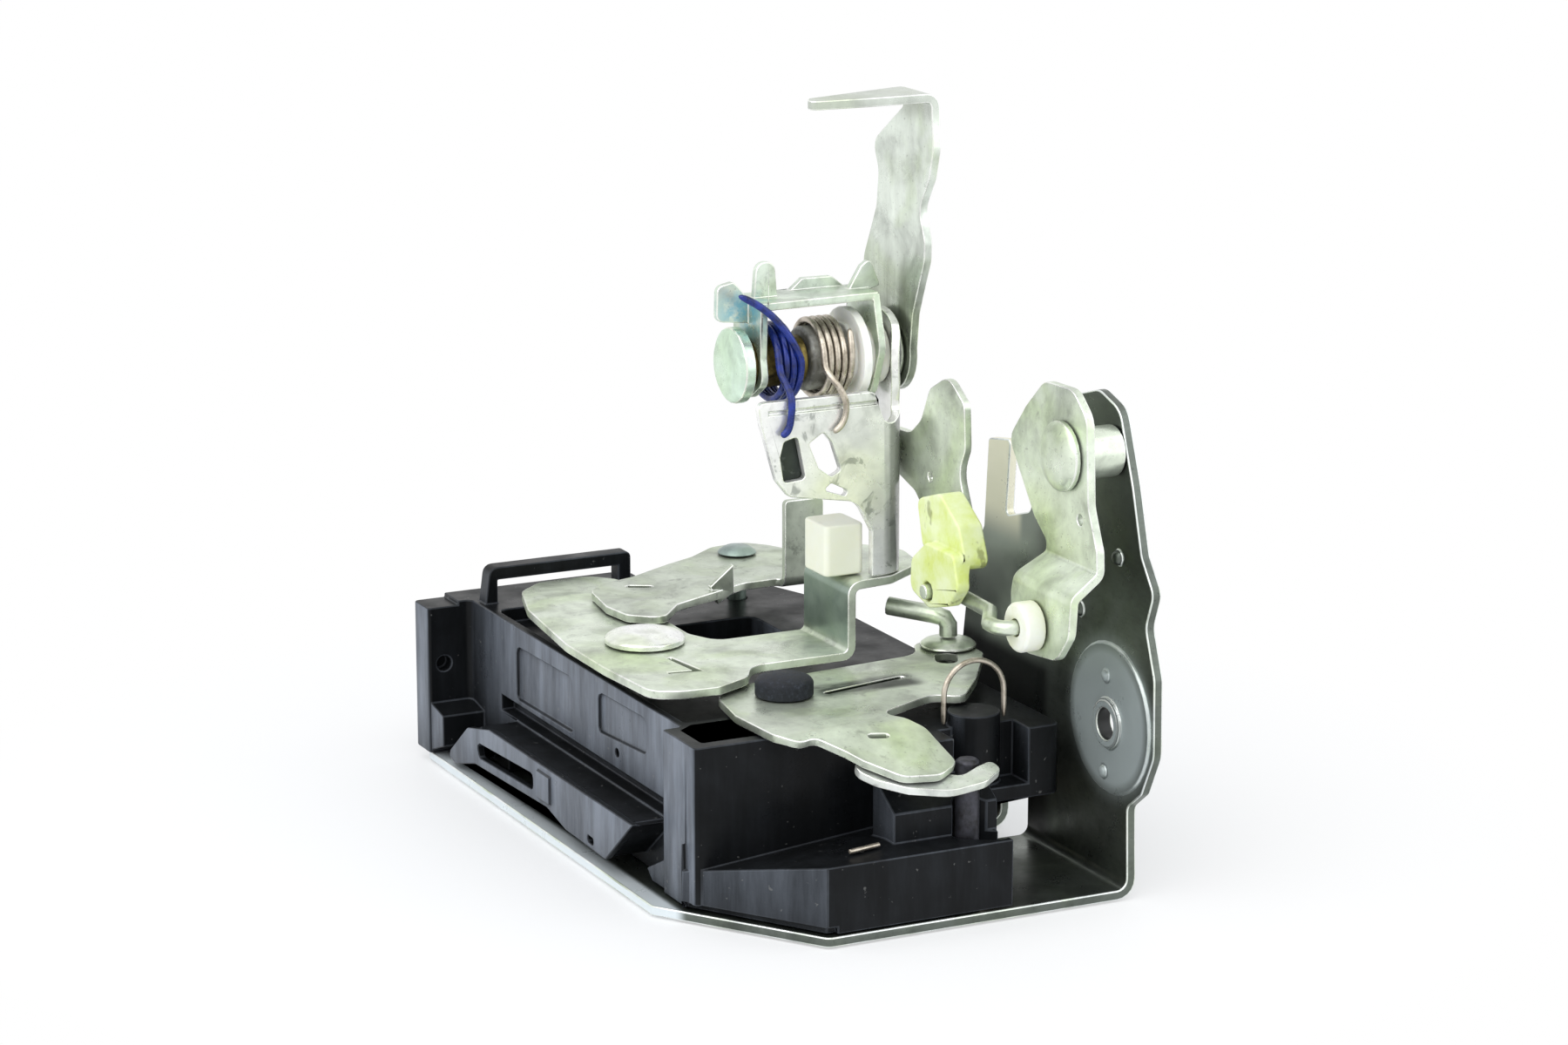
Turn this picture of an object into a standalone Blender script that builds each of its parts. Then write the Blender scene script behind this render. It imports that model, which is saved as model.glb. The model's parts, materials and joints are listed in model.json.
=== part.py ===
"""Car door lock: a rotary fork lock on an angled steel plate, with its levers, springs and linkage.

Sizes below are millimetres, and MM turns them into Blender's metres. Stations X, Y and Z are
measured from the near left corner of the moulded housing, on the underside of the base plate.
X runs right along the housing's near wall, Y runs back and Z is up. DATUM is the station of the
model's origin, the middle of the face that rests on the door's edge.
"""

from math import acos, asin, atan2, cos, degrees, pi, radians, sin, tan

import bmesh
import bpy
from mathutils import Matrix, Vector

MM = 0.001

# Fits
GAP = 0.3
BORE_CLEARANCE = 0.25

# Model origin
DATUM_X = 36.0
DATUM_Y = 62.0

# Base plate
PLATE_T = 2.0
PLATE_LEFT = -5.0
PLATE_NEAR = -23.0
PLATE_RIM = 1.0
FLANGE_OUT = 5.0
FLANGE_BEND_R = 2.0
FLANGE_TOP = 99.0
FLANGE_EAR_Y = -32.0
FLANGE_BACK_Y = 45.0
SCREW_HOLE_R = 3.2
FLANGE_SCREW_Y = -15.8
FLANGE_SCREW_Z = 33.9
FLANGE_PAD_R = 15.0

# Striker mouth
MOUTH_Y = 22.0
MOUTH_W = 11.0
MOUTH_DEPTH = 30.5
MOUTH_H = 11.0

# Housing
HOUSING_L = 128.5
HOUSING_W = 77.0
RECESS_X = 4.0
PILASTER_Y = 14.6
REAR_FLANGE_T = 8.0
REAR_FLANGE_OUT = 6.0
REAR_FLANGE_TOP = 34.4
HOUSING_TOP = 35.3
DECK_Z = 32.3
WALL = 2.5
NOSE_Y = -7.0
BAND_NEAR = -22.5
BAND_TOP = 15.7
BAND_LOW = 10.1
ROOF_Z = 18.0
POST_R = 5.2
POST_TOP = 35.2
RAIL_TOP = 15.6
RAIL_T = 1.6
RAIL_OUT = 5.0
LOOP_LEFT = 5.0
LOOP_RIGHT = 39.0
LOOP_TOP = 43.2
LOOP_BAR = 2.8
LOOP_DEPTH = 4.0

# Fork and pawl
FORK_Y = 37.0
FORK_R = 24.0
FORK_T = 5.0
FORK_Z = 2.6
FORK_SLOT_W = 10.6
FORK_SLOT_REACH = 15.0
FORK_OPEN_ANGLE = -35.0
FORK_PIN_R = 3.7
PAWL_Y = 0.0
PAWL_T = 4.5
PAWL_HUB_R = 6.5
PAWL_PIN_R = 3.0
PAWL_TIP_R = 3.2
PAWL_TIP_ANGLE = -125.0
PAWL_SWING = 12.0
CATCH_REACH = 9.8
CATCH_Y = -15.5
CATCH_R = 2.4
CATCH_TOP = 30.9

# Sheet levers
LEVER_T = 1.7
BRACKET_Z = 38.1
BRACKET_T = 1.8
STEP_TOP = 54.4
BEND_R = 1.1
RELEASE_Z = 35.6
CABLE_PIN_R = 1.9
RELEASE_PIVOT_IN = 3.0
RELEASE_PIVOT_Y = 36.0
TONGUE_SLOPE = 20.0
TONGUE_ROOT_Y = -4.0
RELAY_Z = 40.3
RELAY_IN_X = 16.5
RELAY_IN_Y = 21.5

# Rivets
BRACKET_RIVET_X = 16.0
BRACKET_RIVET_Y = 57.5
BRACKET_RIVET_HEAD_R = 8.2
RIVET_HEAD_T = 2.5
RIVET_SHANK_R = 3.5

# Tower
TOWER_Y = 45.0
TOWER_Z = 98.3
TOWER_PIN_R = 3.6
TOWER_HEAD_R = 7.6
TOWER_HEAD_T = 3.0
TOWER_HEAD_X = 28.5
FRAME_FACE_Y = 34.0
FRAME_TO_LEVER = 7.2
FRAME_BEND_R = 5.0
FRAME_T = 1.8
BUSH_R = 5.0
BLUE_COIL_R = 7.6
BLUE_WIRE_R = 0.75
PLAIN_COIL_R = 7.9
PLAIN_WIRE_R = 0.65
DRUM_R = 6.5
DRUM_FLANGE_R = 9.6
TALL_X = 65.2
TALL_T = 1.8
TALL_TOP = 152.3
TALL_HUB_R = 8.2
TALL_TAB_TIP_X = 38.6

# Lock lever, rod and upright lever
LOCK_BEHIND_LEVER = 0.3
LOCK_Y = 43.0
LOCK_Z = 79.5
LOCK_T = 1.6
ROD_R = 1.5
ROD_BUSH_Y = -15.5
ROD_BUSH_Z = 55.6
ROD_CLIP_Y = 13.5
ROD_CLIP_Z = 56.3
CLIP_CLEARANCE = 0.45
UPRIGHT_OFF_FLANGE = 11.0
UPRIGHT_Y = -15.3
UPRIGHT_Z = 88.3
UPRIGHT_T = 1.8
UPRIGHT_JOG = 6.0
UPRIGHT_HEAD_R = 6.9

# Stations that follow from the sizes above
PLATE_FAR = HOUSING_L + PLATE_RIM / 2
PLATE_RIGHT = HOUSING_W + PLATE_RIM
FLANGE_X = HOUSING_W + FLANGE_OUT
MOUTH_END_X = HOUSING_W - MOUTH_DEPTH
FORK_X = MOUTH_END_X + MOUTH_W / 2
PAWL_X = FORK_X + 8.3
CATCH_X = PAWL_X - CATCH_REACH
FRONT_WALL_X = PAWL_X - 20.3
BAND_RIGHT = PAWL_X - 3.3
REAR_WALL_Y = HOUSING_L - 18.5
LOOP_Y = HOUSING_L - 11.5
RELEASE_PIVOT_X = HOUSING_W - RELEASE_PIVOT_IN
RELAY_X = HOUSING_W - RELAY_IN_X
RELAY_Y = HOUSING_L - RELAY_IN_Y
SCREW_PLACES = ((14.0, HOUSING_L - 28.5), (HOUSING_W - 11.0, HOUSING_L - 44.5), (26.0, -11.0))
FRAME_BEND_X = TALL_X - FRAME_TO_LEVER
STEP_X = FRAME_BEND_X - 6.6
LOCK_X = TALL_X - LOCK_BEHIND_LEVER
UPRIGHT_X = FLANGE_X - UPRIGHT_OFF_FLANGE
ROD_FAR_X = LOCK_X - 3.1
ROD_NEAR_X = UPRIGHT_X - UPRIGHT_JOG - 7.4

ZINC = (0.62, 0.66, 0.60)
DARK_ZINC = (0.23, 0.25, 0.25)
BLACK_PLASTIC = (0.025, 0.025, 0.030)
BLACK_RUBBER = (0.030, 0.030, 0.034)
BLUE = (0.03, 0.05, 0.42)
BARE_WIRE = (0.45, 0.42, 0.37)
BRASS = (0.42, 0.33, 0.16)
WHITE_NYLON = (0.82, 0.84, 0.76)
CREAM_NYLON = (0.80, 0.78, 0.55)
GREEN_NYLON = (0.72, 0.80, 0.32)
BLACK_STEEL = (0.06, 0.06, 0.07)


# Scene, collections and materials

def clear_scene():
    for obj in list(bpy.data.objects):
        bpy.data.objects.remove(obj, do_unlink=True)


def collection(name):
    group = bpy.data.collections.new(name)
    bpy.context.scene.collection.children.link(group)
    return group


def material(name, color, roughness, metallic):
    mat = bpy.data.materials.new(name)
    mat.use_nodes = True
    shader = mat.node_tree.nodes["Principled BSDF"]
    shader.inputs["Base Color"].default_value = (*color, 1.0)
    shader.inputs["Roughness"].default_value = roughness
    shader.inputs["Metallic"].default_value = metallic
    mat.diffuse_color = (*color, 1.0)
    return mat


# Outlines: lists of (x, y) in millimetres

def circle(x, y, r, steps=24):
    return [(x + r * cos(2 * pi * i / steps), y + r * sin(2 * pi * i / steps)) for i in range(steps)]


def arc(x, y, r, start, end, steps):
    """Points on an arc from angle start to angle end, in degrees."""
    angles = [radians(start + (end - start) * i / steps) for i in range(steps + 1)]
    return [(x + r * cos(a), y + r * sin(a)) for a in angles]


def rounded(corners, steps=4):
    """Outline through corners (x, y) or (x, y, radius), with each radius turned into an arc."""
    outline = []
    count = len(corners)
    for i, corner in enumerate(corners):
        here = Vector(corner[:2])
        r = corner[2] if len(corner) > 2 else 0.0
        if r == 0.0:
            outline.append((here.x, here.y))
            continue
        to_last = (Vector(corners[i - 1][:2]) - here).normalized()
        to_next = (Vector(corners[(i + 1) % count][:2]) - here).normalized()
        half = acos(max(-1.0, min(1.0, to_last.dot(to_next)))) / 2
        side = min((Vector(corners[i - 1][:2]) - here).length, (Vector(corners[(i + 1) % count][:2]) - here).length)
        r = min(r, 0.48 * side * tan(half))
        centre = here + (to_last + to_next).normalized() * (r / sin(half))
        first = here + to_last * (r / tan(half)) - centre
        sweep = pi - 2 * half
        turn = 1 if to_last.x * to_next.y - to_last.y * to_next.x < 0 else -1
        for k in range(steps + 1):
            p = centre + Matrix.Rotation(turn * sweep * k / steps, 2) @ first
            outline.append((p.x, p.y))
    return outline


def moved(corners, x, y):
    """The same corners, given from a point, at that point's stations."""
    return [(x + c[0], y + c[1], *c[2:]) for c in corners]


def capsule(x0, y0, r0, x1, y1, r1, steps=10):
    """Outline round two circles and their outer tangents."""
    span = Vector((x1 - x0, y1 - y0))
    heading = degrees(atan2(span.y, span.x))
    lean = degrees(acos((r0 - r1) / span.length))
    return (arc(x0, y0, r0, heading + lean, heading + 360 - lean, steps)
            + arc(x1, y1, r1, heading - lean, heading + lean, steps))


def slot(x0, y0, x1, y1, r, steps=6):
    return capsule(x0, y0, r, x1, y1, r, steps)


# Mesh building

class Kit:
    """Holds the two collections, and gives each object its place, material and parent collection."""

    def __init__(self):
        self.parts = collection("car_door_lock")
        self.cutters = collection("cutters")

    def add(self, name, mesh, mat, origin=(0, 0, 0)):
        """Object whose mesh is given at its stations, with its own origin at a chosen station."""
        mesh.transform(Matrix.Translation(-Vector(origin) * MM))
        obj = bpy.data.objects.new(name, mesh)
        obj.location = ((origin[0] - DATUM_X) * MM, (origin[1] - DATUM_Y) * MM, origin[2] * MM)
        mesh.name = name
        mesh.materials.clear()
        if mat is None:
            self.cutters.objects.link(obj)
            obj.hide_render = True
            obj.display_type = "WIRE"
        else:
            mesh.materials.append(mat)
            self.parts.objects.link(obj)
        return obj

    def tool(self, mesh, name):
        return self.add(name, mesh, None)


def to_mesh(bm):
    bmesh.ops.recalc_face_normals(bm, faces=bm.faces)
    if bm.calc_volume(signed=True) < 0:
        bmesh.ops.reverse_faces(bm, faces=bm.faces)
    mesh = bpy.data.meshes.new("shape")
    bm.to_mesh(mesh)
    bm.free()
    return mesh


def curve_to_mesh(curve):
    """Mesh of a curve's evaluated object, with its caps welded."""
    obj = bpy.data.objects.new("guide", curve)
    bpy.context.scene.collection.objects.link(obj)
    depsgraph = bpy.context.evaluated_depsgraph_get()
    mesh = bpy.data.meshes.new_from_object(obj.evaluated_get(depsgraph))
    bpy.data.objects.remove(obj, do_unlink=True)
    bpy.data.curves.remove(curve)
    bm = bmesh.new()
    bm.from_mesh(mesh)
    bpy.data.meshes.remove(mesh)
    bmesh.ops.remove_doubles(bm, verts=bm.verts, dist=0.000002)
    return to_mesh(bm)


def sheet(outline, z, thickness, holes=()):
    """Flat plate from an outline and its holes, lying from z up to z + thickness."""
    curve = bpy.data.curves.new("outline", "CURVE")
    curve.dimensions = "2D"
    curve.fill_mode = "BOTH"
    curve.extrude = thickness * MM / 2
    for loop in (outline, *holes):
        spline = curve.splines.new("POLY")
        spline.points.add(len(loop) - 1)
        for point, (x, y) in zip(spline.points, loop):
            point.co = (x * MM, y * MM, 0, 1)
        spline.use_cyclic_u = True
    mesh = curve_to_mesh(curve)
    mesh.transform(Matrix.Translation((0, 0, (z + thickness / 2) * MM)))
    return mesh


def upright(mesh, x):
    """Turns a plate drawn as (Y, Z) so that its first face lies at station x and it grows to +X."""
    turn = Matrix(((0, 0, 1, x * MM), (1, 0, 0, 0), (0, 1, 0, 0), (0, 0, 0, 1)))
    mesh.transform(turn)
    return mesh


def facing_front(mesh, y):
    """Turns a plate drawn as (X, Z) so that it stands from station y back to y + thickness."""
    turn = Matrix(((1, 0, 0, 0), (0, 0, 1, y * MM), (0, 1, 0, 0), (0, 0, 0, 1)))
    mesh.transform(turn)
    mesh.flip_normals()
    return mesh


def bend(mesh, start, along, up, angle, radius, steps=5, left_of=None):
    """Bends a sheet past the line at start, across the direction along, towards up, by angle degrees.

    radius is measured to the middle of the sheet, where start also lies. The bend is made of flat
    strips, so every face of the sheet stays flat. What lies left of the station left_of stays flat.
    """
    start = Vector(start) * MM
    along = Vector(along).normalized()
    up = Vector(up).normalized()
    sweep = radians(angle)
    radius *= MM
    strip = radius * sweep / steps

    def on_bend(k, h):
        turned_by = sweep * k / steps
        return along * ((radius - h) * sin(turned_by)) + up * (radius - (radius - h) * cos(turned_by))

    bm = bmesh.new()
    bm.from_mesh(mesh)
    bmesh.ops.dissolve_limit(bm, angle_limit=radians(0.3), verts=bm.verts, edges=bm.edges)
    for k in range(steps + 1):
        bmesh.ops.bisect_plane(
            bm, geom=bm.verts[:] + bm.edges[:] + bm.faces[:], dist=0.000001,
            plane_co=start + along * (strip * k), plane_no=along)
    for vert in bm.verts:
        offset = vert.co - start
        s = offset.dot(along)
        if s <= 0 or (left_of is not None and vert.co.x < left_of * MM):
            continue
        h = offset.dot(up)
        level = vert.co - along * s - up * h
        if s < strip * steps:
            k = int(s / strip)
            vert.co = level + on_bend(k, h).lerp(on_bend(k + 1, h), s / strip - k)
        else:
            run = s - strip * steps
            vert.co = level + on_bend(steps, h) + along * (run * cos(sweep)) + up * (run * sin(sweep))
    return to_mesh(bm)


def box(x, y, z):
    """Box between two stations on each axis."""
    bm = bmesh.new()
    bmesh.ops.create_cube(bm, size=1.0)
    size = Vector((x[1] - x[0], y[1] - y[0], z[1] - z[0])) * MM
    centre = Vector((x[0] + x[1], y[0] + y[1], z[0] + z[1])) * (MM / 2)
    bmesh.ops.scale(bm, vec=size, verts=bm.verts)
    bmesh.ops.translate(bm, vec=centre, verts=bm.verts)
    return to_mesh(bm)


def drum(centre, r, low, high, axis="Z", segments=24):
    """Cylinder along an axis. centre gives the two other stations, in X, Y, Z order."""
    bm = bmesh.new()
    bmesh.ops.create_cone(bm, cap_ends=True, segments=segments, radius1=r * MM, radius2=r * MM,
                          depth=(high - low) * MM)
    mesh = to_mesh(bm)
    place_turned(mesh, centre, (low + high) / 2, axis)
    return mesh


def place_turned(mesh, centre, station, axis):
    """Moves a shape made round Z at the origin onto an axis."""
    if axis == "Z":
        mesh.transform(Matrix.Translation(Vector((*centre, station)) * MM))
    elif axis == "X":
        mesh.transform(Matrix.Translation(Vector((station, *centre)) * MM) @ Matrix.Rotation(pi / 2, 4, "Y"))
    else:
        place = Vector((centre[0], station, centre[1])) * MM
        mesh.transform(Matrix.Translation(place) @ Matrix.Rotation(-pi / 2, 4, "X"))


def turned(profile, centre, station, axis="Z", steps=24):
    """Body turned from a closed or capped profile of (radius, height), listed from top to bottom."""
    bm = bmesh.new()
    verts = [bm.verts.new((r * MM, 0, h * MM)) for r, h in profile]
    on_axis = profile[0][0] == 0 and profile[-1][0] == 0
    for a, b in zip(verts, verts[1:]):
        bm.edges.new((a, b))
    if not on_axis:
        bm.edges.new((verts[-1], verts[0]))
    mesh = bpy.data.meshes.new("profile")
    bm.to_mesh(mesh)
    bm.free()
    obj = bpy.data.objects.new("profile", mesh)
    bpy.context.scene.collection.objects.link(obj)
    screw = obj.modifiers.new("Turn", "SCREW")
    screw.axis = "Z"
    screw.steps = steps
    screw.render_steps = steps
    screw.use_merge_vertices = True
    screw.merge_threshold = 0.00001
    depsgraph = bpy.context.evaluated_depsgraph_get()
    body = bpy.data.meshes.new_from_object(obj.evaluated_get(depsgraph))
    bpy.data.objects.remove(obj, do_unlink=True)
    bpy.data.meshes.remove(mesh)
    bm = bmesh.new()
    bm.from_mesh(body)
    bpy.data.meshes.remove(body)
    bmesh.ops.remove_doubles(bm, verts=bm.verts, dist=0.000002)
    body = to_mesh(bm)
    place_turned(body, centre, station, axis)
    return body


def wire(points, r, sides=2):
    """Round wire along points, with flat ends."""
    curve = bpy.data.curves.new("wire", "CURVE")
    curve.dimensions = "3D"
    curve.bevel_depth = r * MM
    curve.bevel_resolution = sides
    curve.use_fill_caps = True
    spline = curve.splines.new("POLY")
    spline.points.add(len(points) - 1)
    for point, p in zip(spline.points, points):
        point.co = (p[0] * MM, p[1] * MM, p[2] * MM, 1)
    return curve_to_mesh(curve)


def coil_x(y, z, r, x0, x1, turns, start, per_turn=14):
    """Points of a helix round an axis along X, from angle start in degrees. turns is below 0 to wind back."""
    count = round(abs(turns) * per_turn)
    points = []
    for i in range(count + 1):
        a = radians(start + 360 * turns * i / count)
        points.append((x0 + (x1 - x0) * i / count, y + r * cos(a), z + r * sin(a)))
    return points


def coil_z(x, y, r, z0, z1, turns, start, per_turn=14):
    """Points of a helix round an axis along Z, from angle start in degrees."""
    count = round(turns * per_turn)
    points = []
    for i in range(count + 1):
        a = radians(start + 360 * turns * i / count)
        points.append((x + r * cos(a), y + r * sin(a), z0 + (z1 - z0) * i / count))
    return points


def combine(obj, tools, operation):
    for tool in tools:
        mod = obj.modifiers.new(operation.title() + " " + tool.name, "BOOLEAN")
        mod.operation = operation
        mod.solver = "EXACT"
        mod.object = tool


def join(obj, tools):
    combine(obj, tools, "UNION")


def cut(obj, tools):
    combine(obj, tools, "DIFFERENCE")


def bore(kit, obj, label, centre, r, low, high, axis="Z", segments=20):
    cut(obj, [kit.tool(drum(centre, r, low, high, axis, segments), f"{label}_bore")])


def smooth(obj, angle=40):
    obj.data.shade_smooth()
    obj.data.set_sharp_from_angle(angle=radians(angle))


# Base plate

def flange_flat(y, z):
    """Place on the flat pattern of the flange's point at station y and height z."""
    middle_r = FLANGE_BEND_R + PLATE_T / 2
    bend_start = FLANGE_X - FLANGE_BEND_R
    return bend_start + middle_r * pi / 2 + z - PLATE_T - FLANGE_BEND_R, y


def make_base_plate(kit, mat):
    flange = [
        (FLANGE_EAR_Y + 9.5, 18.5, 2.0), (FLANGE_EAR_Y + 4.3, 22.5, 2.0), (FLANGE_EAR_Y, 31.0, 5.0),
        (FLANGE_EAR_Y + 0.3, 46.5, 5.0), (FLANGE_EAR_Y + 3.9, 56.0, 4.0), (FLANGE_EAR_Y + 1.2, 63.0, 3.0),
        (FLANGE_EAR_Y + 6.0, 69.5, 4.0), (FLANGE_EAR_Y + 9.7, 82.4, 8.0), (FLANGE_EAR_Y + 15.0, 96.5, 5.0),
        (-9.0, FLANGE_TOP, 5.0), (1.0, FLANGE_TOP - 3.0, 6.0), (14.0, 84.0, 6.0), (17.0, 69.0, 2.0),
        (27.0, 66.0, 1.0), (25.5, 82.0, 1.0), (34.5, 80.5, 1.0), (36.0, 62.0, 1.0),
        (FLANGE_BACK_Y - 3, 52.0, 6.0), (FLANGE_BACK_Y, 34.0, 6.0), (FLANGE_BACK_Y, 8.0, 2.0),
    ]
    corners = [
        (PLATE_LEFT, 9.0, 2.0), (17.0, PLATE_NEAR, 2.0), (flange_flat(0, 5.0)[0], PLATE_NEAR, 0.0),
        *[(*flange_flat(y, z), r) for y, z, r in flange],
        (PLATE_RIGHT, FLANGE_BACK_Y + 4, 2.0), (PLATE_RIGHT, PLATE_FAR - 14, 3.0),
        (PLATE_RIGHT - 14, PLATE_FAR, 3.0), (PLATE_LEFT + 4, PLATE_FAR, 3.0), (PLATE_LEFT, PLATE_FAR - 5, 3.0),
    ]
    mesh = sheet(rounded(corners), 0.0, PLATE_T)
    mesh = bend(mesh, (FLANGE_X - FLANGE_BEND_R, 0, PLATE_T / 2), (1, 0, 0), (0, 0, 1), 90,
                FLANGE_BEND_R + PLATE_T / 2)
    plate = kit.add("base_plate", mesh, mat)
    ring = turned([(SCREW_HOLE_R - 0.5, 1.5), (SCREW_HOLE_R + 1.9, 1.5), (SCREW_HOLE_R + 1.9, -0.5),
                   (SCREW_HOLE_R + 1.6, -0.9), (SCREW_HOLE_R - 0.5, -0.9)],
                  (FLANGE_SCREW_Y, FLANGE_SCREW_Z), FLANGE_X - 0.5, "X")
    pad = drum((FLANGE_SCREW_Y, FLANGE_SCREW_Z + 1.0), FLANGE_PAD_R, FLANGE_X - 0.6, FLANGE_X + 0.5, "X", 36)
    join(plate, [kit.tool(pad, "flange_pad"), kit.tool(ring, "flange_screw_collar")])
    for i, place in enumerate(((-14.8, 43.3), (-14.5, 23.8), (-17.9, 67.6), (-3.5, 54.0))):
        dimple = turned([(0, 1.3), (1.5, 1.3), (1.5, 0), (1.2, -0.6), (0.7, -1.0), (0, -1.1)], place,
                        FLANGE_X - 0.4, "X", 14)
        join(plate, [kit.tool(dimple, f"flange_dimple_{i + 1}")])
    mouth_r = MOUTH_W / 2
    mouth_end = MOUTH_END_X + mouth_r
    past = FLANGE_X + 8
    mouth = arc(mouth_end, MOUTH_Y, mouth_r, 90, 270, 10) + [(past, MOUTH_Y - mouth_r), (past, MOUTH_Y + mouth_r)]
    cut(plate, [kit.tool(sheet(mouth, -5.0, MOUTH_H + 5.0), "plate_mouth")])
    bore(kit, plate, "flange_screw", (FLANGE_SCREW_Y, FLANGE_SCREW_Z), SCREW_HOLE_R, FLANGE_X - 7, FLANGE_X + 8, "X", 24)
    bore(kit, plate, "plate_fork_pin", (FORK_X, FORK_Y), FORK_PIN_R + BORE_CLEARANCE, -3, 5)
    bore(kit, plate, "plate_pawl_pin", (PAWL_X, PAWL_Y), PAWL_PIN_R + BORE_CLEARANCE, -3, 5)
    for i, place in enumerate(SCREW_PLACES):
        bore(kit, plate, f"floor_screw_{i + 1}", place, SCREW_HOLE_R, -3, 5, "Z", 24)


# Housing

def lowered_corner(mesh, x, y, low):
    """Lowers the top vertex nearest to a station, which gives the band its sloping near corner."""
    top = [v for v in mesh.vertices if v.co.z > (low + 1) * MM]
    vert = min(top, key=lambda v: (v.co.x - x * MM) ** 2 + (v.co.y - y * MM) ** 2)
    vert.co.z = low * MM
    bm = bmesh.new()
    bm.from_mesh(mesh)
    bmesh.ops.triangulate(bm, faces=bm.faces)
    return to_mesh(bm)


def make_rail():
    """Open rail outside the recessed wall, as shapes to join: panel, shelf, middle block and two leaning gussets."""
    panel = rounded([(18.0, RAIL_TOP), (31.0, 4.8, 1.0), (50.0, 5.1, 2.0), (60.0, 7.3, 2.0), (98.0, 6.0, 1.0),
                     (109.0, 3.0), (113.5, 4.0, 1.0), (101.8, 13.0, 1.0), (90.0, RAIL_TOP, 3.0)], 2)
    window = rounded([(67.0, 9.0, 1.0), (95.5, 8.0, 1.0), (97.0, 11.0, 1.0), (67.0, 12.4, 1.0)], 2)
    notch = rounded([(36.8, 5.9, 0.5), (39.6, 6.1, 0.5), (39.6, 7.6, 0.5), (36.8, 7.4, 0.5)], 2)
    inner = RECESS_X + 0.6
    reach = inner + RAIL_OUT
    near_gusset = [(18.4, RAIL_TOP - 0.4), (20.6, RAIL_TOP - 0.4), (33.4, 5.2), (31.0, 5.2)]
    far_gusset = [(98.4, 12.4), (109.2, 3.2), (113.0, 4.1), (101.6, 12.7)]
    return (("rail_panel", upright(sheet(panel, 0, RAIL_T, [window, notch]), -RAIL_OUT)),
            ("rail_shelf", box((-RAIL_OUT + 0.5, inner), (22.0, 96.0), (12.9, 14.7))),
            ("rail_block", box((-RAIL_OUT - 0.6, -RAIL_OUT + 1.0), (57.5, 64.0), (8.5, 14.3))),
            ("rail_near_gusset", upright(sheet(near_gusset, 0, reach - 0.4), -RAIL_OUT + 0.4)),
            ("rail_far_gusset", upright(sheet(far_gusset, 0, reach - 0.4), -RAIL_OUT + 0.4)))


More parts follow.
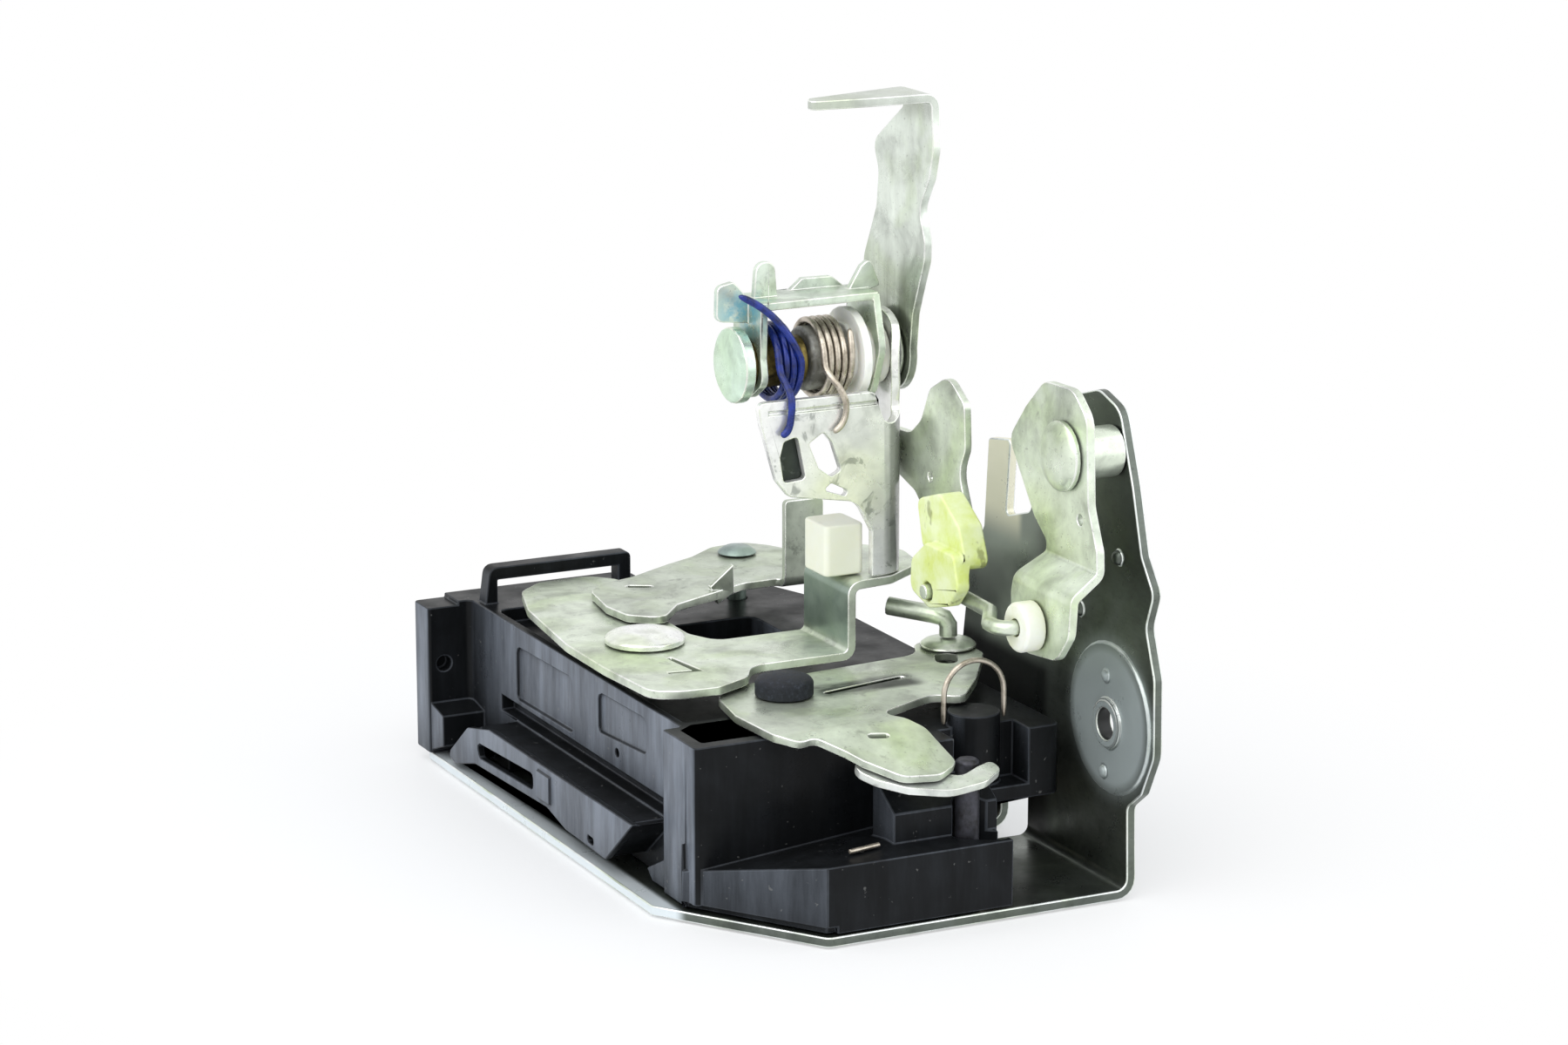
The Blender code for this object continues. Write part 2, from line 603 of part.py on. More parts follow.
def make_housing(kit, mat):
    seat = PLATE_T + GAP
    length, width = HOUSING_L, HOUSING_W
    rear_y = length - REAR_FLANGE_T
    body = [
        (0, 0, 1.0), (FRONT_WALL_X, 0), (FRONT_WALL_X, NOSE_Y), (width - 1, NOSE_Y, 2.0),
        (width - 1, length - 28.5, 3.0), (width - 7, length - 10.5, 4.0), (44, length - 10.5), (44, length, 3.0),
        (-REAR_FLANGE_OUT, length, 1.0), (-REAR_FLANGE_OUT, rear_y, 0.8), (RECESS_X, rear_y, 1.5),
        (RECESS_X, PILASTER_Y, 1.0), (0, PILASTER_Y, 0.6),
    ]
    housing = kit.add("housing", sheet(rounded(body, 3), seat, HOUSING_TOP - seat), mat)
    deck = [
        (RECESS_X + 1.8, 16.8, 1.0), (FRONT_WALL_X - 3, 16.8), (FRONT_WALL_X - 3, NOSE_Y - 2),
        (width + 2, NOSE_Y - 2), (width + 2, length - 27.5), (width - 7, length - 6.5), (44 - WALL, length - 6.5),
        (44 - WALL, REAR_WALL_Y, 1.5), (RECESS_X + 1.8, REAR_WALL_Y, 2.0),
    ]
    near_well = rounded([(WALL, WALL, 1.0), (FRONT_WALL_X - 4, WALL), (FRONT_WALL_X - 4, 15.2), (WALL + 3.5, 15.2, 0.6),
                         (WALL, 12.6, 0.6)], 3)
    post_bay = box((PAWL_X - 8.0, PAWL_X + 8.5), (NOSE_Y - 2, PAWL_Y - 0.5), (ROOF_Z + 3.0, HOUSING_TOP + 1))
    cut(housing, [kit.tool(sheet(rounded(deck, 3), DECK_Z, 5.0), "deck_recess"),
                  kit.tool(sheet(near_well, DECK_Z - 4.0, 9.0), "near_well"), kit.tool(post_bay, "post_bay")])

    band = sheet([(-1.0, 3.6), (17.0, BAND_NEAR), (BAND_RIGHT, BAND_NEAR), (BAND_RIGHT, 2.0), (-1.0, 3.8)],
                 seat, BAND_TOP - seat)
    band = lowered_corner(band, -1.0, 3.6, BAND_LOW)
    block_profile = [(-15.0, BAND_TOP - 1), (-6.0, BAND_TOP - 1), (-6.0, 25.5), (-8.5, 25.5), (-15.0, 21.6)]
    block = upright(sheet(block_profile, 0, 22.5), BAND_RIGHT - 22.0)
    post = drum((PAWL_X, PAWL_Y), POST_R, ROOF_Z + 2.0, POST_TOP)
    loop_low = HOUSING_TOP - 1
    loop_y = (LOOP_Y - LOOP_DEPTH / 2, LOOP_Y + LOOP_DEPTH / 2)
    loop_outline = rounded([
        (LOOP_LEFT, loop_low), (LOOP_RIGHT, loop_low), (LOOP_RIGHT, LOOP_TOP, 1.2),
        (LOOP_LEFT + 1.2, LOOP_TOP, 2.0)])
    loop = facing_front(sheet(loop_outline, 0, LOOP_DEPTH), loop_y[0])
    rear_foot = upright(sheet([(rear_y + 1, 13.6), (rear_y - 6.5, 12.2), (rear_y - 6.5, 5.5), (rear_y + 1, seat + 0.4)],
                              0, REAR_FLANGE_OUT + RECESS_X), -REAR_FLANGE_OUT + 0.4)
    pilaster_foot = upright(sheet([(PILASTER_Y - 1, 9.6), (PILASTER_Y + 9.0, 4.6), (PILASTER_Y + 6.5, seat + 0.3),
                                   (PILASTER_Y - 1, seat + 0.3)], 0, RECESS_X), 0.6)
    join(housing, [kit.tool(mesh, name) for name, mesh in (
        ("band", band), ("front_block", block), ("post", post), ("loop", loop), ("rear_foot", rear_foot),
        ("pilaster_foot", pilaster_foot), *make_rail())])

    pawl_cavity = [(-31.8, 12), (-30.8, 3.5), (-24.3, 1.5), (-15.8, -21.4), (9.7, -21.4), (9.7, 25), (-28.3, 25), (-31.8, 18)]
    cutters = [
        ("deep_pocket", sheet(rounded([(24, 57, 3), (width - 20, 57, 3), (width - 20, length - 36.5, 3),
                                       (24, length - 36.5, 3)], 3), 14.0, 30)),
        ("fork_cavity", drum((FORK_X, FORK_Y), FORK_R + 0.8, PLATE_T - 1, FORK_Z + FORK_T + 2.6, segments=48)),
        ("pawl_cavity", sheet(moved(pawl_cavity, PAWL_X, PAWL_Y), PLATE_T - 1, FORK_Z + FORK_T + 3.0 - PLATE_T)),
        ("mouth_tunnel", box((MOUTH_END_X - 0.5, width + 3), (MOUTH_Y - MOUTH_W / 2 - 0.6, MOUTH_Y + MOUTH_W / 2 + 0.6),
                             (PLATE_T - 1, 13.5))),
        ("under_roof", box((BAND_RIGHT + 0.1, width + 3), (NOSE_Y - 2, MOUTH_Y + MOUTH_W / 2 + 0.6),
                           (PLATE_T - 1, ROOF_Z))),
        ("catch_slot", sheet(slot(CATCH_X, CATCH_Y, CATCH_X + 4.5, CATCH_Y - 2.9, CATCH_R + 0.5),
                             PLATE_T, 30.0)),
        ("wall_groove", box((RECESS_X - 1, RECESS_X + 3.0), (19.0, length - 24.0), (RAIL_TOP - 0.6, 18.4))),
        ("wall_undercut", box((RECESS_X - 1, RECESS_X + 9.0), (62.0, 101.0), (PLATE_T - 1, 9.0))),
        ("far_panel", upright(sheet(rounded([(67.0, 20.0, 1.0), (96.0, 19.6, 1.0), (96.0, 31.0, 1.5),
                                             (67.0, 31.5, 1.5)], 2), 0, 1.8), RECESS_X - 1)),
        ("near_panel", upright(sheet(rounded([(31.0, 25.2, 1.0), (54.0, 23.8, 1.0), (54.0, 32.0, 1.5),
                                              (31.0, 32.4, 1.5)], 2), 0, 1.8), RECESS_X - 1)),
        ("wall_eye", drum((45.0, 21.7), 0.9, RECESS_X - 1, RECESS_X + 2, "X", 12)),
        ("rear_flange_eye", drum((-2.4, 21.9), 1.7, rear_y - 1, rear_y + 3, "Y", 16)),
        ("rear_flange_step", box((-REAR_FLANGE_OUT - 1, 1.0), (rear_y - 1, length + 1),
                                 (REAR_FLANGE_TOP, HOUSING_TOP + 1))),
        ("band_undercut", sheet([(-3.4, 2.2), (15.2, -25.6), (19.2, -25.6), (19.2, -21.4), (17.4, -21.4), (0.5, 4.4)],
                                PLATE_T, 1.7)),
        ("fork_pin_bore", drum((FORK_X, FORK_Y), FORK_PIN_R + BORE_CLEARANCE, 5, 20.3)),
        ("pawl_pin_bore", drum((PAWL_X, PAWL_Y), PAWL_PIN_R + BORE_CLEARANCE, 5, 32.3)),
        ("bracket_rivet_bore", drum((BRACKET_RIVET_X, BRACKET_RIVET_Y), RIVET_SHANK_R + BORE_CLEARANCE, 20, 45)),
        ("release_rivet_bore", drum((RELEASE_PIVOT_X, RELEASE_PIVOT_Y), 2.0 + BORE_CLEARANCE, 22, 45)),
        ("relay_rivet_bore", drum((RELAY_X, RELAY_Y), 2.0 + BORE_CLEARANCE, 20, 45)),
        ("loop_gap", box((LOOP_LEFT + 3.0, LOOP_RIGHT - 3.0), (LOOP_Y - 5, LOOP_Y + 5),
                         (HOUSING_TOP, LOOP_TOP - LOOP_BAR))),
        ("bumper_seat", box((MOUTH_END_X - 7.3, MOUTH_END_X), (MOUTH_Y - 5.3, MOUTH_Y + 5.3), (9.0, 14.8))),
    ]
    cutters += [(f"screw_recess_{i + 1}", drum(place, SCREW_HOLE_R + 1.0, 1, 13))
                for i, place in enumerate(SCREW_PLACES)]
    cut(housing, [kit.tool(mesh, name) for name, mesh in cutters])
    return housing


# Fork, pawl and what lies round them

def make_fork(kit, steel):
    half = FORK_SLOT_W / 2
    spread = degrees(asin(half / FORK_R))
    a = FORK_OPEN_ANGLE
    middle = (FORK_X + FORK_SLOT_REACH * cos(radians(a)), FORK_Y + FORK_SLOT_REACH * sin(radians(a)))
    detent = a - 37.0
    outline = (arc(FORK_X, FORK_Y, FORK_R, a + spread, a + 360 - 62.0, 30)
               + arc(FORK_X, FORK_Y, FORK_R - 3.0, a + 360 - 61.0, a + 360 - 38.0, 4)
               + arc(FORK_X, FORK_Y, FORK_R, a + 360 - 37.0, a + 360 - spread, 4)
               + arc(*middle, half, a - 90, a - 270, 10))
    mesh = sheet(outline, FORK_Z, FORK_T, [circle(FORK_X, FORK_Y, FORK_PIN_R + BORE_CLEARANCE)])
    kit.add("fork_bolt", mesh, steel, (FORK_X, FORK_Y, FORK_Z))
    pin = turned([(0, 20.0), (FORK_PIN_R - 0.5, 20.0), (FORK_PIN_R, 19.5), (FORK_PIN_R, 0.1), (0, 0.1)],
                 (FORK_X, FORK_Y), 0)
    smooth(kit.add("fork_pin", pin, steel))
    top = FORK_Z + FORK_T + GAP + 0.5
    coil = coil_z(FORK_X, FORK_Y, 6.0, top, top + 0.95, 1.0, 120)
    kit.add("fork_spring", wire([(FORK_X - 12.0, FORK_Y - 4.0, top), *coil, (FORK_X - 8.0, FORK_Y + 18.0, top + 0.95)],
                                0.4), steel)


def make_pawl(kit, steel, black):
    tip_r = FORK_R + 2 * GAP + PAWL_TIP_R
    tip = (FORK_X + tip_r * cos(radians(PAWL_TIP_ANGLE)), FORK_Y + tip_r * sin(radians(PAWL_TIP_ANGLE)))
    arm = sheet(capsule(PAWL_X, PAWL_Y, PAWL_HUB_R, *tip, PAWL_TIP_R), FORK_Z, PAWL_T)
    horn = sheet(capsule(PAWL_X, PAWL_Y, PAWL_HUB_R - 0.4, CATCH_X, CATCH_Y, CATCH_R + 1.4), FORK_Z, PAWL_T)
    pawl = kit.add("pawl", arm, steel, (PAWL_X, PAWL_Y, FORK_Z))
    join(pawl, [kit.tool(horn, "pawl_horn")])
    bore(kit, pawl, "pawl", (PAWL_X, PAWL_Y), PAWL_PIN_R + BORE_CLEARANCE, FORK_Z - 1, FORK_Z + PAWL_T + 1)
    low = FORK_Z + PAWL_T + GAP
    pin = turned([(0, CATCH_TOP), (CATCH_R - 0.6, CATCH_TOP), (CATCH_R, CATCH_TOP - 0.6), (CATCH_R, low), (0, low)],
                 (CATCH_X, CATCH_Y), 0)
    smooth(kit.add("catch_pin", pin, black, (PAWL_X, PAWL_Y, FORK_Z)))
    axle = turned([(0, 32.0), (PAWL_PIN_R - 0.4, 32.0), (PAWL_PIN_R, 31.6), (PAWL_PIN_R, 0.1), (0, 0.1)],
                  (PAWL_X, PAWL_Y), 0)
    smooth(kit.add("pawl_pin", axle, steel))


def make_pawl_spring(kit, mat):
    reach, foot, crown = 6.7, DECK_Z + GAP, 38.6
    points = [(PAWL_X - reach, PAWL_Y, foot), (PAWL_X - reach, PAWL_Y, crown)]
    points += [(PAWL_X + reach * cos(radians(a)), PAWL_Y, crown + reach * sin(radians(a))) for a in range(168, 0, -12)]
    points += [(PAWL_X + reach, PAWL_Y, crown), (PAWL_X + reach, PAWL_Y, foot)]
    kit.add("pawl_spring", wire(points, 0.55), mat)


def make_mouth_bumper(kit, mat):
    outline = rounded([(MOUTH_END_X - 7.0, MOUTH_Y - 5.0, 1.5), (MOUTH_END_X - 0.5, MOUTH_Y - 5.0, 0.6),
                       (MOUTH_END_X - 0.5, MOUTH_Y + 5.0, 0.6), (MOUTH_END_X - 7.0, MOUTH_Y + 5.0, 1.5)])
    kit.add("mouth_bumper", sheet(outline, FORK_Z + FORK_T + GAP + 1.7, 4.9), mat)


# Levers on the deck

def rivet(kit, name, mat, centre, seat, head_r, head_t, shank_r, depth, axis="Z"):
    """Domed rivet whose head sits on the station seat and whose shank goes down by depth."""
    dome = head_t * 0.32
    profile = [(0, head_t), (head_r * 0.62, head_t - dome * 0.25), (head_r - 0.9, head_t - dome),
               (head_r, head_t - dome - 0.7), (head_r, 0), (shank_r, 0), (shank_r, -depth), (0, -depth)]
    obj = kit.add(name, turned(profile, centre, seat, axis), mat)
    smooth(obj)
    return obj


def make_support_bracket(kit, mat):
    t = BRACKET_T
    mid_r = BEND_R + t / 2
    quarter = mid_r * pi / 2
    first_bend = STEP_X - t / 2 - mid_r
    rise = STEP_TOP - t / 2 - mid_r - (BRACKET_Z + t / 2 + mid_r)
    top_start = first_bend + quarter + rise + quarter
    far = top_start - (STEP_X - t / 2 + mid_r)
    corners = [
        (8.0, 22.5, 5.0), (2.5, 25.0, 5.0), (1.2, 45.0, 8.0), (1.4, 64.0, 20.0), (5.0, 92.0, 12.0),
        (9.5, 106.0, 6.0), (16.0, 111.5, 4.0), (27.5, 111.5, 5.0), (32.5, 106.0, 4.0), (27.5, 90.0, 10.0),
        (27.0, 60.0, 5.0), (30.0, 53.0, 4.0),
        (top_start, 53.0, 2.0), (57 + far, 60.0, 3.0), (66 + far, 60.5, 5.0), (72 + far, 52.0, 5.0),
        (70 + far, 41.0, 4.0), (60 + far, 34.0, 4.0), (top_start, 33.0),
        (28.0, 33.0, 6.0), (24.0, 26.0, 6.0), (16.0, 22.0, 4.0),
    ]
    mesh = sheet(rounded(corners), BRACKET_Z, t)
    mesh = bend(mesh, (first_bend + quarter + rise, 0, BRACKET_Z + t / 2), (1, 0, 0), (0, 0, -1), 90, mid_r)
    mesh = bend(mesh, (first_bend, 0, BRACKET_Z + t / 2), (1, 0, 0), (0, 0, 1), 90, mid_r)
    bracket = kit.add("support_bracket", mesh, mat)
    bore(kit, bracket, "bracket_rivet_hole", (BRACKET_RIVET_X, BRACKET_RIVET_Y), RIVET_SHANK_R + BORE_CLEARANCE,
         BRACKET_Z - 2, BRACKET_Z + 5)
    lance = sheet([(15.2, 45.6), (16.3, 45.6), (17.9, 33.6), (10.9, 34.8), (11.1, 36.0), (16.2, 35.2)], BRACKET_Z - 2, 7)
    cut(bracket, [kit.tool(lance, "bracket_lance")])
    rivet(kit, "bracket_rivet", mat, (BRACKET_RIVET_X, BRACKET_RIVET_Y), BRACKET_Z + t + GAP,
          BRACKET_RIVET_HEAD_R, RIVET_HEAD_T, RIVET_SHANK_R, 18.0)


def make_release_lever(kit, mat, rubber):
    t = LEVER_T
    pivot = (RELEASE_PIVOT_X, RELEASE_PIVOT_Y, RELEASE_Z)
    corners = [
        (-58.0, -12.5, 5.0), (-60.2, -25.0, 6.0), (-59.3, -40.5, 4.0), (-55.5, -44.0, 3.0), (-52.0, -43.0, 2.0),
        (-48.0, -48.5, 3.0), (-46.0, -52.0, 3.0), (-40.5, -58.5, 4.0), (-33.0, -59.5, 4.0), (-28.0, -56.5, 2.5),
        (-29.0, -44.5, 5.0), (-34.5, -36.0, 3.0), (-19.0, -29.0, 3.0), (-14.5, -33.5, 3.0), (-6.0, -23.0, 6.0),
        (4.5, -7.0, 5.0), (5.0, 5.5, 5.0), (-5.0, 6.5, 5.0), (-8.0, -2.0, 6.0), (-43.0, -5.5, 4.0), (-52.0, -7.0, 5.0),
    ]
    corners = moved(corners, RELEASE_PIVOT_X, RELEASE_PIVOT_Y)
    mesh = sheet(rounded(corners), RELEASE_Z, t)
    mesh = bend(mesh, (0, TONGUE_ROOT_Y, RELEASE_Z + t / 2), (0, -1, 0), (0, 0, -1), TONGUE_SLOPE, 6.0, 3)
    lever = kit.add("release_lever", mesh, mat, pivot)
    bumper_at = (RELEASE_PIVOT_X - 45.7, RELEASE_PIVOT_Y - 17.2)
    for label, place, r in (("release_pivot", (RELEASE_PIVOT_X, RELEASE_PIVOT_Y), 2.0 + BORE_CLEARANCE),
                            ("bumper_stem", bumper_at, 1.6 + BORE_CLEARANCE)):
        bore(kit, lever, label, place, r, RELEASE_Z - 2, RELEASE_Z + 5, "Z", 16)
    slots = moved([(-37.0, -19.0), (-19.0, -15.5), (-40.9, -44.9), (-38.0, -45.4), (-3.6, -5.8), (-5.0, -8.8)],
                  RELEASE_PIVOT_X, RELEASE_PIVOT_Y)
    cut(lever, [kit.tool(sheet(slot(*slots[0], *slots[1], 0.8, 4), RELEASE_Z - 2, 7), "release_slot"),
                kit.tool(sheet(slot(*slots[2], *slots[3], 0.7, 4), RELEASE_Z - 6, 9), "tongue_lance"),
                kit.tool(sheet(slot(*slots[4], *slots[5], 2.2), RELEASE_Z - 2, 7), "lever_eye")])
    head_t = 1.7
    rivet(kit, "release_rivet", mat, (RELEASE_PIVOT_X, RELEASE_PIVOT_Y), RELEASE_Z + t + GAP, 5.8, head_t, 2.0, 12.0)
    bumper = turned([(0, 4.1), (3.6, 4.0), (5.3, 3.4), (5.8, 2.6), (5.8, 0.0), (1.6, 0.0), (1.6, -1.9), (0, -1.9)],
                    bumper_at, RELEASE_Z + t + GAP)
    smooth(kit.add("rubber_bumper", bumper, rubber, pivot))

    # The crescent lies parallel to the sloping tongue, just under it.
    hook = moved([
        (-44.5, -46.0, 2.0), (-47.2, -50.5, 3.0), (-44.5, -54.5, 4.0), (-39.5, -58.3, 5.0), (-31.5, -61.0, 9.0),
        (-23.5, -59.8, 6.0), (-18.4, -56.6, 2.0), (-19.4, -53.6, 1.2), (-23.2, -54.9, 2.0), (-27.4, -56.9, 3.0),
        (-32.0, -54.6, 3.0), (-34.0, -47.0, 2.0)], RELEASE_PIVOT_X, RELEASE_PIVOT_Y)
    hook = sheet(rounded(hook), 0, t)
    lean = radians(TONGUE_SLOPE)
    drop = RELEASE_Z - GAP - t * 1.02
    hook.transform(Matrix.Translation((0, TONGUE_ROOT_Y * MM, drop * MM))
                   @ Matrix.Rotation(lean, 4, "X")
                   @ Matrix.Translation((0, -TONGUE_ROOT_Y * MM, 0)))
    kit.add("catch_hook", hook, mat, pivot)

    # Bent pin on the pivot rivet, which a cable pulls.
    low = RELEASE_Z + t + GAP + head_t + GAP
    pin = [(0, 0, low), (0, 0, low + 2.4), (-0.6, 0.6, low + 3.7), (-2.2, 2.2, low + 4.3), (-9.4, 8.8, low + 5.4)]
    pin = [(RELEASE_PIVOT_X + x, RELEASE_PIVOT_Y + y, z) for x, y, z in pin]
    kit.add("cable_pin", wire(pin, CABLE_PIN_R, 3), mat, pivot)


def make_relay_lever(kit, mat):
    corners = [
        (-43.0, -27.0, 4.0), (-42.0, -35.0, 3.0), (-36.0, -40.5, 3.0), (-29.0, -32.0, 5.0), (-20.6, -28.0, 5.0),
        (-9.5, -22.7, 4.0), (-1.1, -22.5, 1.0), (-1.1, -42.4, 1.0), (7.9, -42.4, 1.0), (7.9, -22.5, 1.0),
        (12.5, -15.0, 5.0), (13.0, -3.0, 5.0), (9.8, 4.0, 4.0), (5.5, 9.0, 4.0), (-2.5, 8.0, 5.0),
        (-9.8, 2.3, 5.0), (-17.2, -1.2, 5.0), (-28.5, -7.6, 5.0), (-36.5, -10.0, 4.0), (-41.0, -14.5, 5.0),
    ]
    tab_bend = RELAY_Y - 23.0
    mesh = sheet(rounded(moved(corners, RELAY_X, RELAY_Y)), RELAY_Z, LEVER_T)
    mesh = bend(mesh, (0, tab_bend, RELAY_Z + LEVER_T / 2), (0, -1, 0), (0, 0, 1), 90, BEND_R + LEVER_T / 2,
                left_of=RELAY_X - 1.2)
    lever = kit.add("relay_lever", mesh, mat, (RELAY_X, RELAY_Y, RELAY_Z))
    lug = facing_front(sheet(moved([(-18.4, 2.5), (-13.0, 6.7), (-12.8, 0.6), (-16.6, -1.5)], RELAY_X, RELAY_Z), 0, 1.5),
                       RELAY_Y - 25.5)
    join(lever, [kit.tool(lug, "relay_lug")])
    bore(kit, lever, "relay_pivot", (RELAY_X, RELAY_Y), 2.0 + BORE_CLEARANCE, RELAY_Z - 2, RELAY_Z + 5, "Z", 16)
    eye = moved([(-31.9, -14.6), (-28.5, -16.4)], RELAY_X, RELAY_Y)
    cut(lever, [kit.tool(sheet(slot(*eye[0], *eye[1], 1.0, 4), RELAY_Z - 2, 7), "relay_slot")])
    rivet(kit, "relay_rivet", mat, (RELAY_X, RELAY_Y), RELAY_Z + LEVER_T + GAP, 4.2, 1.6, 2.0, 16.0)


# Tower

def make_tower(kit, mat, brass, blue, bare, white, cream):
    axis = (TOWER_Y, TOWER_Z)
    mid_r = FRAME_BEND_R
    quarter = mid_r * pi / 2
    back = FRAME_BEND_X + quarter - (FRAME_FACE_Y + FRAME_T / 2 + mid_r)
    ear_u = TOWER_Y + back
    foot = STEP_TOP + GAP
    ear = arc(ear_u, TOWER_Z, 9.0, -20, 200, 16)
    head = TOWER_HEAD_X
    turn = FRAME_BEND_X
    corners = [
        (head + 1.5, 92.6, 1.5), (head + 2.3, 88.0, 2.0), (head + 5.7, 76.5, 2.0), (head + 8.5, 73.0, 2.0),
        (turn - 6.0, 70.5, 4.0), (turn - 2.5, 64.0, 1.0), (turn - 2.5, foot), (turn + 9.0, foot),
        (turn + 9.0, 64.0, 2.0), (ear_u + 10, 70.0, 4.0), (ear_u + 10, 88.0, 4.0), *ear, (turn + 6.5, 88.0, 2.0),
        (turn + 0.5, 85.0, 2.0), (turn - 2.0, 92.6, 1.5),
    ]
    mesh = facing_front(sheet(rounded(corners), 0, FRAME_T), FRAME_FACE_Y)
    mesh = bend(mesh, (FRAME_BEND_X, FRAME_FACE_Y + FRAME_T / 2, 0), (1, 0, 0), (0, 1, 0), 90, mid_r, 6)
    frame = kit.add("tower_frame", mesh, mat)
    cheek_x = FRAME_BEND_X + mid_r
    bore(kit, frame, "frame_tower_pin", axis, TOWER_PIN_R + BORE_CLEARANCE, cheek_x - 4, cheek_x + 4, "X", 24)
    bore(kit, frame, "frame_lock_rivet", (LOCK_Y, LOCK_Z), 1.5 + BORE_CLEARANCE, cheek_x - 4, cheek_x + 4, "X", 14)
    windows = [[(7.3, 84.3, 0.8), (10.3, 85.1, 0.8), (12.1, 76.4, 0.8), (7.3, 76.0, 0.8), (6.5, 81.2, 1.0)],
               [(12.8, 83.4, 0.6), (16.1, 85.5, 0.8), (18.0, 83.2, 1.0), (20.0, 77.3, 0.8), (17.7, 76.2, 0.8),
                (15.0, 78.2, 0.8)],
               [(16.0, 73.6, 0.5), (17.8, 74.9, 0.6), (21.6, 73.0, 0.6), (20.8, 71.9, 0.5)]]
    for i, corners in enumerate(windows):
        window = facing_front(sheet(rounded(moved(corners, head, 0), 3), 0, 8), FRAME_FACE_Y - 3)
        cut(frame, [kit.tool(window, f"frame_window_{i + 1}")])
    cut(frame, [kit.tool(box((head + 4.0, turn - 1.5), (FRAME_FACE_Y - 1.0, FRAME_FACE_Y + 0.5), (89.9, 90.7)),
                         "frame_groove")])

    pin = turned([(0, 0), (TOWER_HEAD_R - 1.2, 0.2), (TOWER_HEAD_R, 0.9), (TOWER_HEAD_R, TOWER_HEAD_T),
                  (TOWER_PIN_R, TOWER_HEAD_T), (TOWER_PIN_R, TALL_X + TALL_T + 0.8 - head),
                  (0, TALL_X + TALL_T + 0.8 - head)], axis, head, "X")
    smooth(kit.add("tower_pin", pin, mat))
    inner = TOWER_PIN_R + BORE_CLEARANCE
    bush_x = head + TOWER_HEAD_T + GAP
    span = turn + mid_r - FRAME_T / 2 - bush_x
    bush_l = 0.41 * span
    bush = turned([(inner, 0), (BUSH_R, 0), (BUSH_R, bush_l), (inner, bush_l)], axis, bush_x, "X")
    smooth(kit.add("spacer_bush", bush, brass))
    drum_x = bush_x + bush_l + GAP
    flange_x = 0.327 * span
    drum_end = turn + mid_r - FRAME_T / 2 - GAP - drum_x
    body = turned([(inner, 0), (DRUM_R - 0.5, 0), (DRUM_R, 0.5), (DRUM_R, flange_x), (DRUM_FLANGE_R, flange_x),
                   (DRUM_FLANGE_R, flange_x + 1.8), (DRUM_R, flange_x + 1.8), (DRUM_R, drum_end), (inner, drum_end)],
                  axis, drum_x, "X")
    smooth(kit.add("spring_drum", body, white))
    washer_x = turn + mid_r + FRAME_T / 2 + GAP
    washer = turned([(inner, 0), (6.4, 0), (6.4, TALL_X - GAP - washer_x), (inner, TALL_X - GAP - washer_x)],
                    axis, washer_x, "X")
    smooth(kit.add("tower_washer", washer, mat))

    front = TOWER_Y - BLUE_COIL_R
    leg_y = FRAME_FACE_Y - 1.1
    near, far = bush_x + 4.7, bush_x + 9.5
    coil = coil_x(*axis, BLUE_COIL_R, near, far, -3, 180)
    foot_leg = [(near - 1.9, leg_y, 85.8), (near + 0.1, leg_y, 86.8), (near + 0.8, leg_y, 93.6),
                (near + 0.1, front - 0.6, 97.0)]
    head_leg = [(far - 0.2, front - 0.4, 100.5), (far - 4.3, front - 0.9, 107.0), (far - 8.9, front - 0.4, 111.4),
                (far - 13.7, front + 0.6, 113.8)]
    kit.add("blue_spring", wire(foot_leg + coil + head_leg, BLUE_WIRE_R), blue)
    front = TOWER_Y - PLAIN_COIL_R
    near, far = drum_x + 1.8, drum_x + 7.8
    coil = coil_x(*axis, PLAIN_COIL_R, near, far, -4, 180)
    foot_leg = [(near - 0.2, leg_y, 85.4), (near + 2.3, leg_y, 87.2), (near + 3.0, leg_y, 91.0),
                (near + 1.4, leg_y + 0.3, 94.4), (near + 0.1, front - 0.6, 97.0)]
    head_leg = [(far + 0.2, front + 0.4, 101.5), (far + 0.3, front + 1.8, 105.0)]
    kit.add("plain_spring", wire(foot_leg + coil + head_leg, PLAIN_WIRE_R), bare)

    block = rounded([(turn - 11.5, 37.0, 1.2), (turn - 2.8, 37.0, 1.2), (turn - 2.8, 47.0, 1.2),
                     (turn - 11.5, 47.0, 1.2)], 3)
    kit.add("nylon_block", sheet(block, foot, 10.5), cream)


